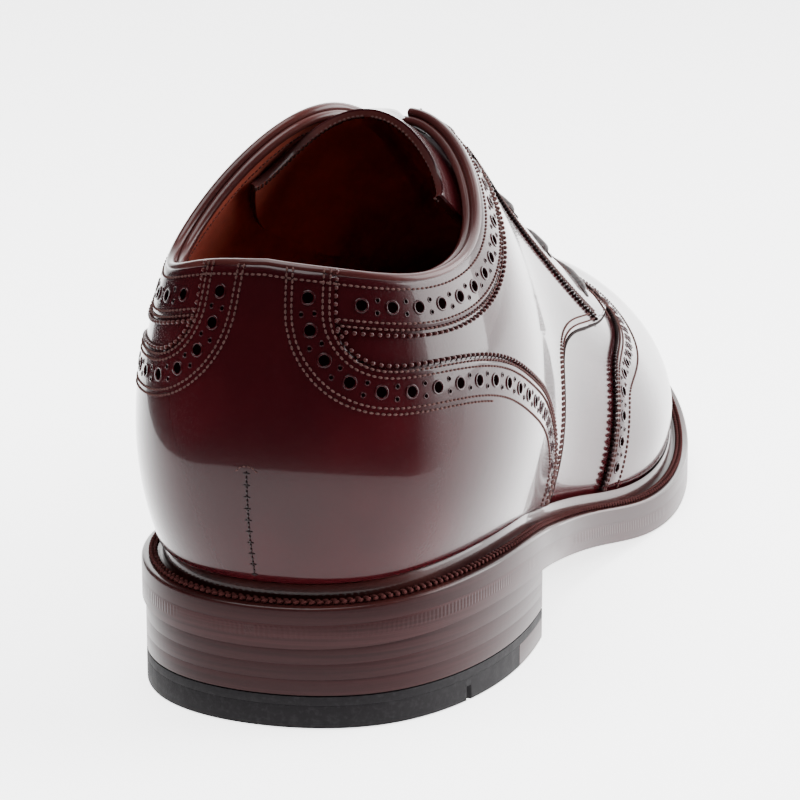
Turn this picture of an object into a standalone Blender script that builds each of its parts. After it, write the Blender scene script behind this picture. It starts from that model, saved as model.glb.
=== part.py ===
"""Open-laced wingtip shoe for the right foot, with a storm welt and a stacked leather heel.

Metres, +Z up, +Y to the toe, +X to the outer side of the foot. The floor is z = 0. While the
pieces are made, the rearmost point of the sole is at y = 0 and the middle of the heel at x = 0.
At the end they are placed with the middle of the sole's box at the origin.

The upper's form is one function, last_point(s, v). s runs round the foot: 0 at the middle of
the back, +1 or -1 at the toe, positive on the outer side. v runs up each rib, from 0 at the
welt to 1 on the ridge of the instep. Every leather piece is a patch of that form.
"""

from functools import partial

import bpy
import numpy as np
from mathutils import Vector
from mathutils.geometry import delaunay_2d_cdt

# Driving sizes
SOLE_LENGTH = 0.302
BALL_WIDTH = 0.108
HEEL_HEIGHT = 0.0177
TOE_SPRING = 0.0130
LAST_HEIGHT = 0.100
HEEL_BREAST = 0.078
HEEL_SET_IN = 0.0008

# Sole pieces
OUTSOLE_THICKNESS = 0.0052
WELT_THICKNESS = 0.0038
WELT_FLAT = 0.0046
RIB_HEIGHT = 0.0034
RIB_SHOULDER = 0.0008
FEATHER_INSET = 0.0078
INSOLE_RISE = 0.0012
RUBBER_THICKNESS = 0.0050
RUBBER_LAYER = 0.0020
RUBBER_LENGTH = 0.0560
SLIT_WIDTH = 0.0016
SLIT_DEPTH = 0.0030
SLIT_PLACE = 0.0310
LIFTS = 3

# Leather
WALL = 0.0020
TONGUE_THICKNESS = 0.0018
QUARTER_THICKNESS = 0.0011
OVERLAY_THICKNESS = 0.0017
COLLAR_WIDTH = 0.0115
EYESTAY_WIDTH = 0.0175
BEAD_RADIUS = 0.0014
LACE_RADIUS = 0.0011
LACE_BARS = 5
EYELET_SETBACK = 0.0075
LACE_DIP = 0.0016
FIRST_EYELET = 0.07
LAST_EYELET = 0.83

# Clearances
GAP = 0.0003
PATCH_GAP = 0.0006
SEAM_GAP = 0.0004
TONGUE_GAP = 0.0011

# Layout of the grids: shares of s and v, counts of points, and the net inside a panel
NECK_FAN = 0.3
NECK_SPREAD = 1.15
NECK_SEAM = 0.003
NECK_POINTS = 2
COUNTER_POINTS = 19
COUNTER_TOE = 0.006
CORNER_STEP = 0.004
FOOT_CROWDING = 1.2
TONGUE_CROWDING = 1.6
FOOT_LIFT_FADE = 4
PLATE_END = 0.02
NET = 0.0070
HALF_GIRTH = 0.33
RIB_LENGTH = 0.13

# Welt's outer edge, clockwise from the back: y as a share of SOLE_LENGTH, x of BALL_WIDTH
SOLE_OUTLINE = (
    (0.000, 0.000),
    (0.030, 0.240),
    (0.127, 0.372),
    (0.245, 0.380),
    (0.360, 0.340),
    (0.480, 0.360),
    (0.600, 0.392),
    (0.700, 0.364),
    (0.800, 0.290),
    (0.890, 0.170),
    (0.952, 0.040),
    (0.988, -0.085),
    (1.000, -0.210),
    (0.986, -0.340),
    (0.945, -0.450),
    (0.880, -0.535),
    (0.800, -0.585),
    (0.710, -0.600),
    (0.620, -0.545),
    (0.500, -0.435),
    (0.380, -0.350),
    (0.260, -0.345),
    (0.127, -0.374),
    (0.030, -0.240),
)

# Underside of the outsole: y share, height as shares of HEEL_HEIGHT and of TOE_SPRING
UNDERSIDE = (
    (0.00, 1.000, 0.00),
    (0.25, 0.970, 0.00),
    (0.34, 0.655, 0.00),
    (0.44, 0.356, 0.00),
    (0.54, 0.068, 0.00),
    (0.62, 0.000, 0.00),
    (0.66, 0.000, 0.00),
    (0.76, 0.000, 0.07),
    (0.87, 0.000, 0.52),
    (1.00, 0.000, 1.00),
)

# Where each rib meets the ridge: s, y as a share of SOLE_LENGTH, x of BALL_WIDTH
RIDGE = (
    (0.00, 0.125, 0.000),
    (0.10, 0.135, 0.000),
    (0.22, 0.215, 0.000),
    (0.34, 0.330, -0.010),
    (0.44, 0.420, -0.030),
    (0.54, 0.510, -0.050),
    (0.64, 0.600, -0.070),
    (0.74, 0.680, -0.090),
    (0.84, 0.745, -0.112),
    (0.93, 0.785, -0.131),
    (1.00, 0.800, -0.140),
)

# Profile from the side: y share, height of the ridge over the welt as a share of LAST_HEIGHT
PROFILE = (
    (0.000, 0.983),
    (0.125, 0.983),
    (0.215, 0.985),
    (0.300, 0.942),
    (0.360, 0.888),
    (0.420, 0.822),
    (0.510, 0.719),
    (0.600, 0.613),
    (0.680, 0.530),
    (0.745, 0.472),
    (0.800, 0.425),
    (0.880, 0.365),
    (0.950, 0.310),
    (1.000, 0.280),
)

# Cross-sections: s, squareness, and the swell of the outer and inner side as shares of BALL_WIDTH
SECTION = (
    (0.00, 3.4, 0.057, 0.057),
    (0.10, 3.4, 0.059, 0.061),
    (0.22, 3.2, 0.054, 0.051),
    (0.34, 2.8, 0.046, 0.035),
    (0.44, 2.3, 0.039, 0.028),
    (0.54, 2.0, 0.037, 0.031),
    (0.64, 1.9, 0.035, 0.035),
    (0.74, 2.0, 0.033, 0.039),
    (0.84, 2.1, 0.031, 0.037),
    (0.93, 2.2, 0.030, 0.031),
    (1.00, 2.2, 0.028, 0.028),
)

# Topline on each side, from the back to the top of the facing: s, v
TOPLINE_OUTER = (
    (0.000, 0.470),
    (0.050, 0.455),
    (0.100, 0.435),
    (0.150, 0.419),
    (0.200, 0.433),
    (0.250, 0.485),
    (0.285, 0.580),
    (0.310, 0.720),
    (0.325, 0.880),
)
TOPLINE_INNER = (
    (0.000, 0.470),
    (0.050, 0.447),
    (0.095, 0.425),
    (0.140, 0.450),
    (0.185, 0.525),
    (0.225, 0.615),
    (0.265, 0.720),
    (0.300, 0.810),
    (0.325, 0.880),
)

# Front edge of the facing, from its top to the quarter's lower corner: s, v outer, v inner
FACING = (
    (0.325, 0.880, 0.880),
    (0.400, 0.850, 0.860),
    (0.470, 0.795, 0.815),
    (0.530, 0.720, 0.755),
    (0.580, 0.640, 0.690),
    (0.615, 0.575, 0.635),
)

# Edge of the vamp under the facings, to where it closes at the foot of the tongue: s, v
THROAT = (
    (0.325, 0.880),
    (0.400, 0.850),
    (0.470, 0.830),
    (0.520, 0.860),
    (0.545, 0.930),
    (0.560, 1.000),
)

# Front edge of the counter, from its neck at the back down to the welt: s, v
COUNTER = (
    (0.047, 0.450),
    (0.045, 0.395),
    (0.047, 0.345),
    (0.064, 0.297),
    (0.100, 0.283),
    (0.145, 0.270),
    (0.190, 0.240),
    (0.240, 0.197),
    (0.300, 0.158),
    (0.336, 0.110),
    (0.350, 0.055),
    (0.350, 0.000),
)

# Front edge of the quarter, from the welt up; it ends at the facing's lower corner: s, v
QUARTER = (
    (0.366, 0.000),
    (0.374, 0.100),
    (0.382, 0.200),
    (0.405, 0.275),
    (0.460, 0.335),
    (0.530, 0.395),
)

# Back edge of the wing cap, from the welt to its point on the ridge: v, s outer, s inner
WING = (
    (0.000, 0.488, 0.430),
    (0.110, 0.498, 0.446),
    (0.215, 0.516, 0.475),
    (0.325, 0.555, 0.530),
    (0.430, 0.630, 0.600),
    (0.560, 0.700, 0.685),
    (0.760, 0.770, 0.765),
    (1.000, 0.820, 0.820),
)

# Side edge of the tongue, from its top to its foot under the vamp: s, v
TONGUE = (
    (0.285, 0.900),
    (0.297, 0.770),
    (0.320, 0.690),
    (0.370, 0.640),
    (0.450, 0.610),
    (0.600, 0.620),
)

MATERIALS = {
    "burgundy_leather": ((0.105, 0.012, 0.016), 0.22, 0.0),
    "burgundy_overlay": ((0.085, 0.010, 0.014), 0.25, 0.0),
    "rust_lining": ((0.220, 0.070, 0.035), 0.60, 0.0),
    "stained_edge": ((0.080, 0.022, 0.022), 0.45, 0.0),
    "charcoal_rubber": ((0.030, 0.028, 0.030), 0.70, 0.0),
    "dark_lace": ((0.030, 0.012, 0.012), 0.70, 0.0),
}


def clear_scene():
    for obj in list(bpy.data.objects):
        bpy.data.objects.remove(obj)


def material(name):
    """The named Principled material, made the first time that it is asked for."""
    if name not in bpy.data.materials:
        colour, roughness, metallic = MATERIALS[name]
        made = bpy.data.materials.new(name)
        made.use_nodes = True
        shader = made.node_tree.nodes["Principled BSDF"]
        shader.inputs["Base Color"].default_value = (*colour, 1.0)
        shader.inputs["Roughness"].default_value = roughness
        shader.inputs["Metallic"].default_value = metallic
    return bpy.data.materials[name]


def add_mesh(name, points, faces, material_name):
    mesh = bpy.data.meshes.new(name)
    mesh.from_pydata([tuple(point) for point in points], [], faces)
    mesh.shade_smooth()
    mesh.set_sharp_from_angle(angle=0.6)
    obj = bpy.data.objects.new(name, mesh)
    obj.data.materials.append(material(material_name))
    bpy.context.scene.collection.objects.link(obj)
    return obj


def spline(x, rows, column=1):
    """A natural cubic spline through one column of a table, over its first column."""
    knots = np.array([row[0] for row in rows], float)
    values = np.array([row[column] for row in rows], float)
    count = len(knots)
    step = np.diff(knots)
    system = np.eye(count)
    right = np.zeros(count)
    for i in range(1, count - 1):
        system[i, i - 1 : i + 2] = step[i - 1], 2 * (step[i - 1] + step[i]), step[i]
        right[i] = 6 * ((values[i + 1] - values[i]) / step[i] - (values[i] - values[i - 1]) / step[i - 1])
    bend = np.linalg.solve(system, right)
    x = np.asarray(x, float)
    i = np.clip(np.searchsorted(knots, x) - 1, 0, count - 2)
    b = (x - knots[i]) / step[i]
    a = 1 - b
    curve = ((a**3 - a) * bend[i] + (b**3 - b) * bend[i + 1]) * step[i] ** 2 / 6
    return a * values[i] + b * values[i + 1] + curve


def closed_spline(points, steps):
    """A smooth closed curve through the points, with steps points for each of them."""
    points = np.asarray(points, float)
    count = len(points)
    step = np.linalg.norm(np.roll(points, -1, 0) - points, axis=1) ** 0.5
    system = np.zeros((count, count))
    right = np.zeros((count, 2))
    for i in range(count):
        after = (i + 1) % count
        system[i, i - 1] += step[i - 1]
        system[i, i] += 2 * (step[i - 1] + step[i])
        system[i, after] += step[i]
        ahead = (points[after] - points[i]) / step[i]
        behind = (points[i] - points[i - 1]) / step[i - 1]
        right[i] = 6 * (ahead - behind)
    bend = np.linalg.solve(system, right)
    b = np.linspace(0, 1, steps, endpoint=False)[:, None]
    a = 1 - b
    pieces = []
    for i in range(count):
        after = (i + 1) % count
        curve = ((a**3 - a) * bend[i] + (b**3 - b) * bend[after]) * step[i] ** 2 / 6
        pieces.append(a * points[i] + b * points[after] + curve)
    return np.concatenate(pieces)


def inset(loop, distance):
    """The closed outline moved inwards."""
    along = np.roll(loop, -1, 0) - np.roll(loop, 1, 0)
    along /= np.linalg.norm(along, axis=1)[:, None]
    return loop + np.stack([-along[:, 1], along[:, 0]], 1) * distance


def halves(loop):
    """The outer and the inner half of an outline, each from the back to the toe."""
    loop = np.roll(loop, -int(np.argmin(loop[:, 1])), 0)
    toe = int(np.argmax(loop[:, 1]))
    return loop[: toe + 1], np.concatenate([loop[toe:], loop[:1]])[::-1]


def lengths_along(line):
    """Each point's distance along a line, as a share of the line's length."""
    steps = np.linalg.norm(np.diff(line, axis=0), axis=1)
    distance = np.concatenate([[0.0], np.cumsum(steps)])
    return distance / distance[-1]


def at_share(line, share):
    distance = lengths_along(line)
    return np.stack([np.interp(share, distance, line[:, k]) for k in range(line.shape[1])], -1)


def underside(y):
    share = np.clip(np.asarray(y) / SOLE_LENGTH, 0, 1)
    height = HEEL_HEIGHT * spline(share, UNDERSIDE, 1) + TOE_SPRING * spline(share, UNDERSIDE, 2)
    return np.maximum(height, 0.0)


def outsole_top(y):
    return underside(y) + OUTSOLE_THICKNESS


def welt_top(y):
    return outsole_top(y) + GAP + WELT_THICKNESS


def sole_outline(steps=16):
    return closed_spline([(x * BALL_WIDTH, y * SOLE_LENGTH) for y, x in SOLE_OUTLINE], steps)


FEATHER = halves(inset(sole_outline(), FEATHER_INSET))
SWELL_PEAK = 27 / 4


def last_point(s, v):
    """A point of the upper's form."""
    s, v = np.broadcast_arrays(np.asarray(s, float), np.asarray(v, float))
    s = (s + 1) % 2 - 1
    u = np.abs(s)
    outer = s >= 0
    foot = np.where(outer[..., None], at_share(FEATHER[0], u), at_share(FEATHER[1], u))
    ridge = np.stack([spline(u, RIDGE, 2) * BALL_WIDTH, spline(u, RIDGE, 1) * SOLE_LENGTH], -1)
    squareness = spline(u, SECTION, 1)
    swell = np.where(outer, spline(u, SECTION, 2), spline(u, SECTION, 3)) * BALL_WIDTH
    rise = np.clip(v * (2 - v), 0, 1)
    reach = np.sign(1 - v) * np.sqrt(1 - rise**squareness)
    reach = reach + swell / np.linalg.norm(foot - ridge, axis=-1) * SWELL_PEAK * rise * (1 - rise) ** 2
    place = ridge + (foot - ridge) * reach[..., None]
    height = LAST_HEIGHT * spline(place[..., 1] / SOLE_LENGTH, PROFILE) * rise
    return np.concatenate([place, (welt_top(place[..., 1]) + height)[..., None]], -1)


def last_slopes(s, v, step=1e-3):
    """The form's slopes along s and along v."""
    along_s = (last_point(s + step, v) - last_point(s - step, v)) / (2 * step)
    low = np.maximum(v - step, 0)
    along_v = (last_point(s, v + step) - last_point(s, low)) / (v + step - low)[..., None]
    return along_s, along_v


def unit(vectors):
    return vectors / np.linalg.norm(vectors, axis=-1)[..., None]


def last_normal(s, v):
    along_s, along_v = last_slopes(s, np.minimum(v, 0.999))
    return unit(np.cross(along_s, along_v))


def table_line(rows, side, column=1, count=40):
    """An edge given by a table, as (s, v) points evenly spaced on the form."""
    share = np.linspace(0, 1, 8 * count)
    place = np.linspace(0, 1, len(rows))
    s = spline(share, [(t, row[0]) for t, row in zip(place, rows)]) * side
    v = spline(share, [(t, row[column]) for t, row in zip(place, rows)])
    return even(np.stack([s, v], -1), count)


def even(line, count):
    """The line of (s, v) points with count points, evenly spaced on the form."""
    distance = lengths_along(last_point(line[:, 0], line[:, 1]))
    share = np.linspace(0, 1, count)
    return np.stack([np.interp(share, distance, line[:, k]) for k in range(2)], -1)


def beside(line, distance, steps=6):
    """The line moved sideways on the form, to its left when it is seen from outside."""
    line = line.copy()
    for _ in range(steps):
        points = last_point(line[:, 0], line[:, 1])
        along_s, along_v = last_slopes(line[:, 0], line[:, 1])
        left = unit(np.cross(np.cross(along_s, along_v), np.gradient(points, axis=0)))
        for i in range(len(line)):
            slopes = np.stack([along_s[i], along_v[i]], 1)
            line[i] += np.linalg.lstsq(slopes, left[i] * distance / steps, rcond=None)[0]
    return line


def between(first, second, rows):
    """A grid of (s, v) points from one line to another with as many points."""
    share = np.linspace(0, 1, rows)[:, None, None]
    return first[None] * (1 - share) + second[None] * share


def grid_mesh(grids):
    """The (s, v) points of some grids in one list, and their faces."""
    points = []
    faces = []
    for grid in grids:
        rows, columns = grid.shape[:2]
        start = len(points)
        points.extend(grid.reshape(-1, 2))
        for i in range(rows - 1):
            for j in range(columns - 1):
                a = start + i * columns + j
                faces.append([a, a + 1, a + columns + 1, a + columns])
    return np.array(points), faces


def inside(points, outline):
    """Which of the flat points lie inside the closed outline."""
    found = np.zeros(len(points), bool)
    for (x1, y1), (x2, y2) in zip(outline, np.roll(outline, -1, 0)):
        crosses = (y1 > points[:, 1]) != (y2 > points[:, 1])
        if y1 != y2:
            found ^= crosses & (points[:, 0] < x1 + (points[:, 1] - y1) / (y2 - y1) * (x2 - x1))
    return found


def panel_mesh(outline):
    """Triangles inside a closed outline of (s, v) points, with a net of points between them."""
    scale = np.array([HALF_GIRTH, RIB_LENGTH])
    edge = outline * scale
    low, high = edge.min(0), edge.max(0)
    x, y = np.meshgrid(np.arange(low[0], high[0], NET), np.arange(low[1], high[1], NET))
    net = np.stack([x.ravel(), y.ravel()], -1)
    far = np.linalg.norm(net[:, None] - edge[None], axis=-1).min(1) > 0.6 * NET
    net = net[inside(net, edge) & far]
    flat = [Vector(place) for place in np.concatenate([edge, net]) / NET]
    made = delaunay_2d_cdt(flat, [], [list(range(len(edge)))], 1, 1e-5)
    points = np.array([tuple(place) for place in made[0]]) * NET / scale
    return points, [list(face) for face in made[2]]


def weld(uv, faces):
    """The points of the form at uv, their normals and the faces, joined where points meet."""
    place = last_point(uv[:, 0], uv[:, 1])
    normal = last_normal(uv[:, 0], uv[:, 1])
    index = {}
    numbers = []
    points = []
    normals = []
    for k in range(len(uv)):
        key = tuple(np.round(place[k] * 1e6).astype(int))
        if key not in index:
            index[key] = len(points)
            points.append(place[k])
            normals.append(np.zeros(3))
        numbers.append(index[key])
        normals[index[key]] = normals[index[key]] + normal[k]
    points = np.array(points)
    normals = unit(np.array(normals))
    joined = []
    for face in faces:
        face = list(dict.fromkeys(numbers[corner] for corner in face))
        if len(face) < 3:
            continue
        across = np.cross(points[face[1]] - points[face[0]], points[face[2]] - points[face[0]])
        if across @ normals[face].sum(0) < 0:
            face.reverse()
        joined.append(face)
    return points, normals, joined


def sheet(name, mesh, low, high, material_name):
    """A closed sheet of leather over a mesh in (s, v), from low to high above the form."""
    points, normals, faces = weld(*mesh)
    count = len(points)
    edges = {(face[k - 1], face[k]) for face in faces for k in range(len(face))}
    rim = [[a + count, b + count, b, a] for a, b in edges if (b, a) not in edges]
    rim.sort()
    under = [[corner + count for corner in reversed(face)] for face in faces]
    solid = np.concatenate([points + normals * high, points + normals * low])
    return add_mesh(name, solid, faces + under + rim, material_name)


def foot_v(s):
    """v just above the welt's rib, where the leather pieces end."""
    u = np.abs(s)
    y = np.where(s >= 0, at_share(FEATHER[0], u)[..., 1], at_share(FEATHER[1], u)[..., 1])
    rise = (RIB_HEIGHT + 2 * GAP) / (LAST_HEIGHT * spline(y / SOLE_LENGTH, PROFILE))
    return 1 - np.sqrt(1 - rise)


def lifted(line):
    """The line with v = 0 moved up to the top of the rib."""
    v = line[:, 1]
    return np.stack([line[:, 0], v + foot_v(line[:, 0]) * (1 - v) ** FOOT_LIFT_FADE], -1)


def plank(name, loop, ends, low, high, material_name, stations=36):
    """A plate of the outline loop from ends[0] to ends[1], whose heights change only along the foot."""
    outer, inner = halves(loop)
    first = max(ends[0], outer[0, 1])
    final = min(ends[1], outer[-1, 1])
    closing = np.pi - (PLATE_END if final < ends[1] else 0)
    y = first + (final - first) * (1 - np.cos(np.linspace(PLATE_END, closing, stations))) / 2
    points = []
    for place in y:
        for side in (outer, inner):
            x = np.interp(place, side[:, 1], side[:, 0])
            points.append((x, place, float(low(place))))
            points.append((x, place, float(high(place))))
    faces = [[0, 1, 3, 2]]
    for a in range(0, 4 * (stations - 1), 4):
        b = a + 4
        faces.append([a, b, b + 1, a + 1])
        faces.append([a + 2, a + 3, b + 3, b + 2])
        faces.append([a + 1, b + 1, b + 3, a + 3])
        faces.append([a, a + 2, b + 2, b])
    end = 4 * (stations - 1)
    faces.append([end, end + 2, end + 3, end + 1])
    return add_mesh(name, points, faces, material_name)


def tube(name, points, radius, material_name, sides=1):
    """A round cord or roll along the points, with closed ends."""
    curve = bpy.data.curves.new(name, "CURVE")
    curve.dimensions = "3D"
    curve.bevel_depth = radius
    curve.bevel_resolution = sides
    curve.use_fill_caps = True
    line = curve.splines.new("POLY")
    line.points.add(len(points) - 1)
    for point, place in zip(line.points, points):
        point.co = (*place, 1.0)
    obj = bpy.data.objects.new(name, curve)
    curve.materials.append(material(material_name))
    bpy.context.scene.collection.objects.link(obj)
    return obj


def make_heel():
    """Rubber top piece with its leather corner, a thin rubber layer and the stacked lifts."""
    loop = inset(sole_outline(), HEEL_SET_IN)
    whole = (0, HEEL_BREAST)
    base = RUBBER_THICKNESS + GAP
    rubber = plank("heel_rubber", loop, (0, RUBBER_LENGTH), floor, rubber_top, "charcoal_rubber", 22)
    cut_slit(rubber, loop)
    corner = (RUBBER_LENGTH + GAP, HEEL_BREAST)
    plank("heel_corner", loop, corner, floor, rubber_top, "stained_edge", 7)
    layer = partial(level_at, base)
    layer_top = partial(level_at, base + RUBBER_LAYER)
    plank("heel_rubber_layer", loop, whole, layer, layer_top, "charcoal_rubber", 18)
    for k in range(LIFTS):
        low = partial(lift_level, k / LIFTS, GAP)
        high = partial(lift_level, (k + 1) / LIFTS, 0)
        plank(f"heel_lift_{k + 1}", loop, whole, low, high, "stained_edge", 18)


def level_at(height, y):
    return height


def floor(y):
    return 0.0


def rubber_top(y):
    return RUBBER_THICKNESS


def lift_level(share, gap, y):
    """A height in the stack of lifts, from the rubber layer at 0 to the outsole at 1."""
    bottom = RUBBER_THICKNESS + GAP + RUBBER_LAYER
    return bottom + gap + (underside(y) - GAP - bottom) * share


def cut_slit(rubber, loop):
    """The short slot in the outer edge of the rubber."""
    outer = halves(loop)[0]
    x = np.interp(SLIT_PLACE, outer[:, 1], outer[:, 0])
    bpy.ops.mesh.primitive_cube_add(size=1, location=(x, SLIT_PLACE, 0))
    cutter = bpy.context.active_object
    cutter.name = "slit_cutter"
    cutter.scale = (2 * SLIT_DEPTH, SLIT_WIDTH, 1.3 * RUBBER_THICKNESS)
    cutter.hide_render = True
    cutter.display_type = "WIRE"
    cut = rubber.modifiers.new("slit", "BOOLEAN")
    cut.operation = "DIFFERENCE"
    cut.object = cutter


def make_outsole():
    plank("outsole", sole_outline(), (0, SOLE_LENGTH), underside, outsole_top, "stained_edge", 44)


def welt_inner_inset():
    return FEATHER_INSET + WALL + 2 * PATCH_GAP


def make_welt():
    """The welt's flat, its raised rib against the upper and the part that runs under the upper."""
    loop = sole_outline(3)
    start = int(np.argmin(loop[:, 1]))
    loop = np.roll(loop, -start, 0)
    feather = inset(loop, FEATHER_INSET)
    toe = int(np.argmax(feather[:, 1]))
    share = lengths_along(np.concatenate([feather, feather[:1]]))
    outer_s = share / share[toe]
    inner_s = -(1 - share) / (1 - share[toe])
    s = np.where(np.arange(len(loop) + 1) <= toe, outer_s, inner_s)[:-1]
    inner = inset(loop, welt_inner_inset())
    shoulder = inset(loop, WELT_FLAT)
    rib_outer = inset(loop, WELT_FLAT + RIB_SHOULDER)
    foot_face = last_point(s, 0) + last_normal(s, 0) * PATCH_GAP
    rib_v = foot_v(s)
    rib_face = last_point(s, rib_v) + last_normal(s, rib_v) * PATCH_GAP

    def ring(flat_points, height):
        return np.c_[flat_points, outsole_top(flat_points[:, 1]) + GAP + height]

    top = WELT_THICKNESS
    rings = [
        ring(inner, 0),
        ring(loop, 0),
        ring(loop, top),
        ring(shoulder, top),
        ring(rib_outer, top + 0.75 * RIB_HEIGHT),
        ring((rib_outer + rib_face[:, :2]) / 2, top + RIB_HEIGHT),
        ring(rib_face[:, :2], top + 0.75 * RIB_HEIGHT),
        ring(foot_face[:, :2], top - GAP),
        ring(inner, top - GAP),
    ]
    points = np.concatenate(rings)
    count = len(loop)
    faces = []
    for k in range(len(rings)):
        below = k * count
        above = (k + 1) % len(rings) * count
        for i in range(count):
            j = (i + 1) % count
            faces.append([below + j, above + j, above + i, below + i])
    add_mesh("welt", points, faces, "burgundy_leather")


def make_insole():
    loop = inset(sole_outline(), welt_inner_inset() + PATCH_GAP)
    plank(
        "insole",
        loop,
        (0, SOLE_LENGTH),
        lambda y: outsole_top(y) + GAP,
        lambda y: welt_top(y) + INSOLE_RISE,
        "rust_lining",
        36,
    )


def topline(side):
    rows = TOPLINE_OUTER if side > 0 else TOPLINE_INNER
    s = np.linspace(0, rows[-1][0], 200)
    return even(np.stack([s * side, spline(s, rows)], -1), 60)


def upper_edge(s):
    """v of the upper's top edge: the topline, the throat, and the ridge in front of it."""
    u = np.abs(s)
    rows = TOPLINE_OUTER if s >= 0 else TOPLINE_INNER
    if u <= rows[-1][0]:
        return float(spline(u, rows))
    if u < THROAT[-1][0]:
        return min(float(spline(u, THROAT)), 1.0)
    return 1.0


def make_upper():
    """The hollow leather wall, open at the collar and throat and underneath."""
    top = TOPLINE_OUTER[-1][0]
    throat = THROAT[-1][0]
    runs = ((0, 0.25, 8), (0.25, top, 6), (top, throat, 8), (throat, 1, 13))
    half = np.unique(np.round(np.concatenate([np.linspace(*run) for run in runs]), 6))
    s = np.concatenate([-half[::-1], half[1:]])
    edge = np.array([upper_edge(place) for place in s])
    rows = np.linspace(0, 1, 11)[:, None] ** FOOT_CROWDING
    grid = np.stack([np.broadcast_to(s, (len(rows), len(s))), rows * edge], -1)
    sheet("upper", grid_mesh([grid]), -WALL, 0.0, "burgundy_leather")


def overlay(name, mesh, thickness, material_name="burgundy_overlay"):
    sheet(name, mesh, PATCH_GAP, PATCH_GAP + thickness, material_name)


def make_counter():
    neck = COUNTER[0][0]
    across = np.linspace(-neck, neck, 7)[1:-1]
    v = [spline(abs(s), TOPLINE_OUTER if s >= 0 else TOPLINE_INNER) for s in across]
    sides = []
    feet = []
    for side in (1, -1):
        edge = lifted(table_line(COUNTER, side, count=COUNTER_POINTS))
        edge[-1, 1] += COUNTER_TOE
        sides.append(edge)
        share = np.linspace(0, 1, len(edge)) ** NECK_SPREAD
        feet.append(side * (NECK_FAN * neck + (COUNTER[-1][0] - NECK_FAN * neck) * share))
    top = np.concatenate([sides[1][::-1], np.stack([across, v], -1), sides[0]])
    s = np.concatenate([feet[1][::-1], NECK_FAN * across, feet[0]])
    foot = np.stack([s, foot_v(s)], -1)
    overlay("counter", grid_mesh([between(foot, top, 8)]), OVERLAY_THICKNESS)


def facing_line(side, count=20):
    return table_line(FACING, side, 1 if side > 0 else 2, count)


def collar_line(side, count=15):
    """The topline from the counter's neck to the eyestay."""
    line = topline(side)
    points = last_point(line[:, 0], line[:, 1])
    distance = lengths_along(points) * np.linalg.norm(np.diff(points, axis=0), axis=1).sum()
    keep = (np.abs(line[:, 0]) > COUNTER[0][0] + NECK_SEAM) & (distance < distance[-1] - EYESTAY_WIDTH - SEAM_GAP)
    return even(line[keep], count)


def band_line(side, distance):
    """The collar band's lower edge, which starts beside the counter's neck."""
    line = beside(collar_line(side), -side * distance)
    line[:, 0] = side * np.maximum(np.abs(line[:, 0]), COUNTER[0][0] + NECK_SEAM)
    return line


def make_collar(side, name):
    line = collar_line(side)
    lower = band_line(side, COLLAR_WIDTH)
    overlay(name, grid_mesh([between(line, lower, 3)]), OVERLAY_THICKNESS)


def front_line(side, count=60):
    """The quarter's front edge, from the welt to the facing's lower corner."""
    corner = (FACING[-1][0], FACING[-1][1 if side > 0 else 2])
    return lifted(table_line(QUARTER + (corner,), side, count=count))


def stay_line(side, distance, count=20):
    """The eyestay's back edge, down to the quarter's front edge, and s where it ends."""
    line = beside(facing_line(side, 60), -side * distance)
    front = front_line(side)
    level = np.interp(np.abs(line[:, 0]), np.abs(front[:, 0]), front[:, 1])
    return even(line[line[:, 1] > level + CORNER_STEP], count)


def make_eyestay(side, name):
    line = facing_line(side)
    back = stay_line(side, EYESTAY_WIDTH)
    overlay(name, grid_mesh([between(line, back, 4)]), OVERLAY_THICKNESS)


def make_quarter(side, name):
    """The plain side panel between counter, collar band, eyestay and its own front edge."""
    band = band_line(side, COLLAR_WIDTH + SEAM_GAP)
    stay = stay_line(side, EYESTAY_WIDTH + SEAM_GAP, 60)
    points = last_point(stay[:, 0], stay[:, 1])
    distance = lengths_along(points) * np.linalg.norm(np.diff(points, axis=0), axis=1).sum()
    stay = stay[distance > COLLAR_WIDTH + 2 * SEAM_GAP]
    back = beside(lifted(table_line(COUNTER, side, count=COUNTER_POINTS)), side * SEAM_GAP)
    front = front_line(side)
    front = front[np.abs(front[:, 0]) < abs(stay[-1, 0]) - CORNER_STEP]
    lines = (band, even(stay, 16), even(front, 14)[::-1], back[:NECK_POINTS:-1])
    overlay(name, panel_mesh(np.concatenate(lines)), QUARTER_THICKNESS, "burgundy_leather")


def make_wing_cap():
    v = np.linspace(0, 1, 13) ** FOOT_CROWDING
    grids = []
    for side, column in ((1, 1), (-1, 2)):
        back = lifted(np.stack([spline(v, WING, column) * side, v], -1))
        toe = lifted(np.stack([np.full_like(v, 1.0) * side, v], -1))
        grids.append(between(back, toe, 16))
    overlay("wing_cap", grid_mesh(grids), OVERLAY_THICKNESS)


def make_tongue():
    top = TONGUE[0][0]
    foot = TONGUE[-1][0]
    s = top + (foot - top) * np.linspace(0, 1, 14) ** TONGUE_CROWDING
    grids = []
    for side in (1, -1):
        edge = np.stack([s * side, spline(s, TONGUE)], -1)
        middle = np.stack([s * side, np.ones_like(s)], -1)
        grids.append(between(edge, middle, 6))
    high = -WALL - TONGUE_GAP
    sheet("tongue", grid_mesh(grids), high - TONGUE_THICKNESS, high, "burgundy_leather")


def make_bead():
    """The rolled edge on the topline, from one facing round the heel to the other."""
    outer = topline(1)
    inner = topline(-1)
    line = even(np.concatenate([inner[:0:-1], outer]), 46)
    above = beside(line, BEAD_RADIUS + 2 * GAP)
    points = last_point(above[:, 0], above[:, 1])
    tube("topline_bead", points, BEAD_RADIUS, "burgundy_overlay")


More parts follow.
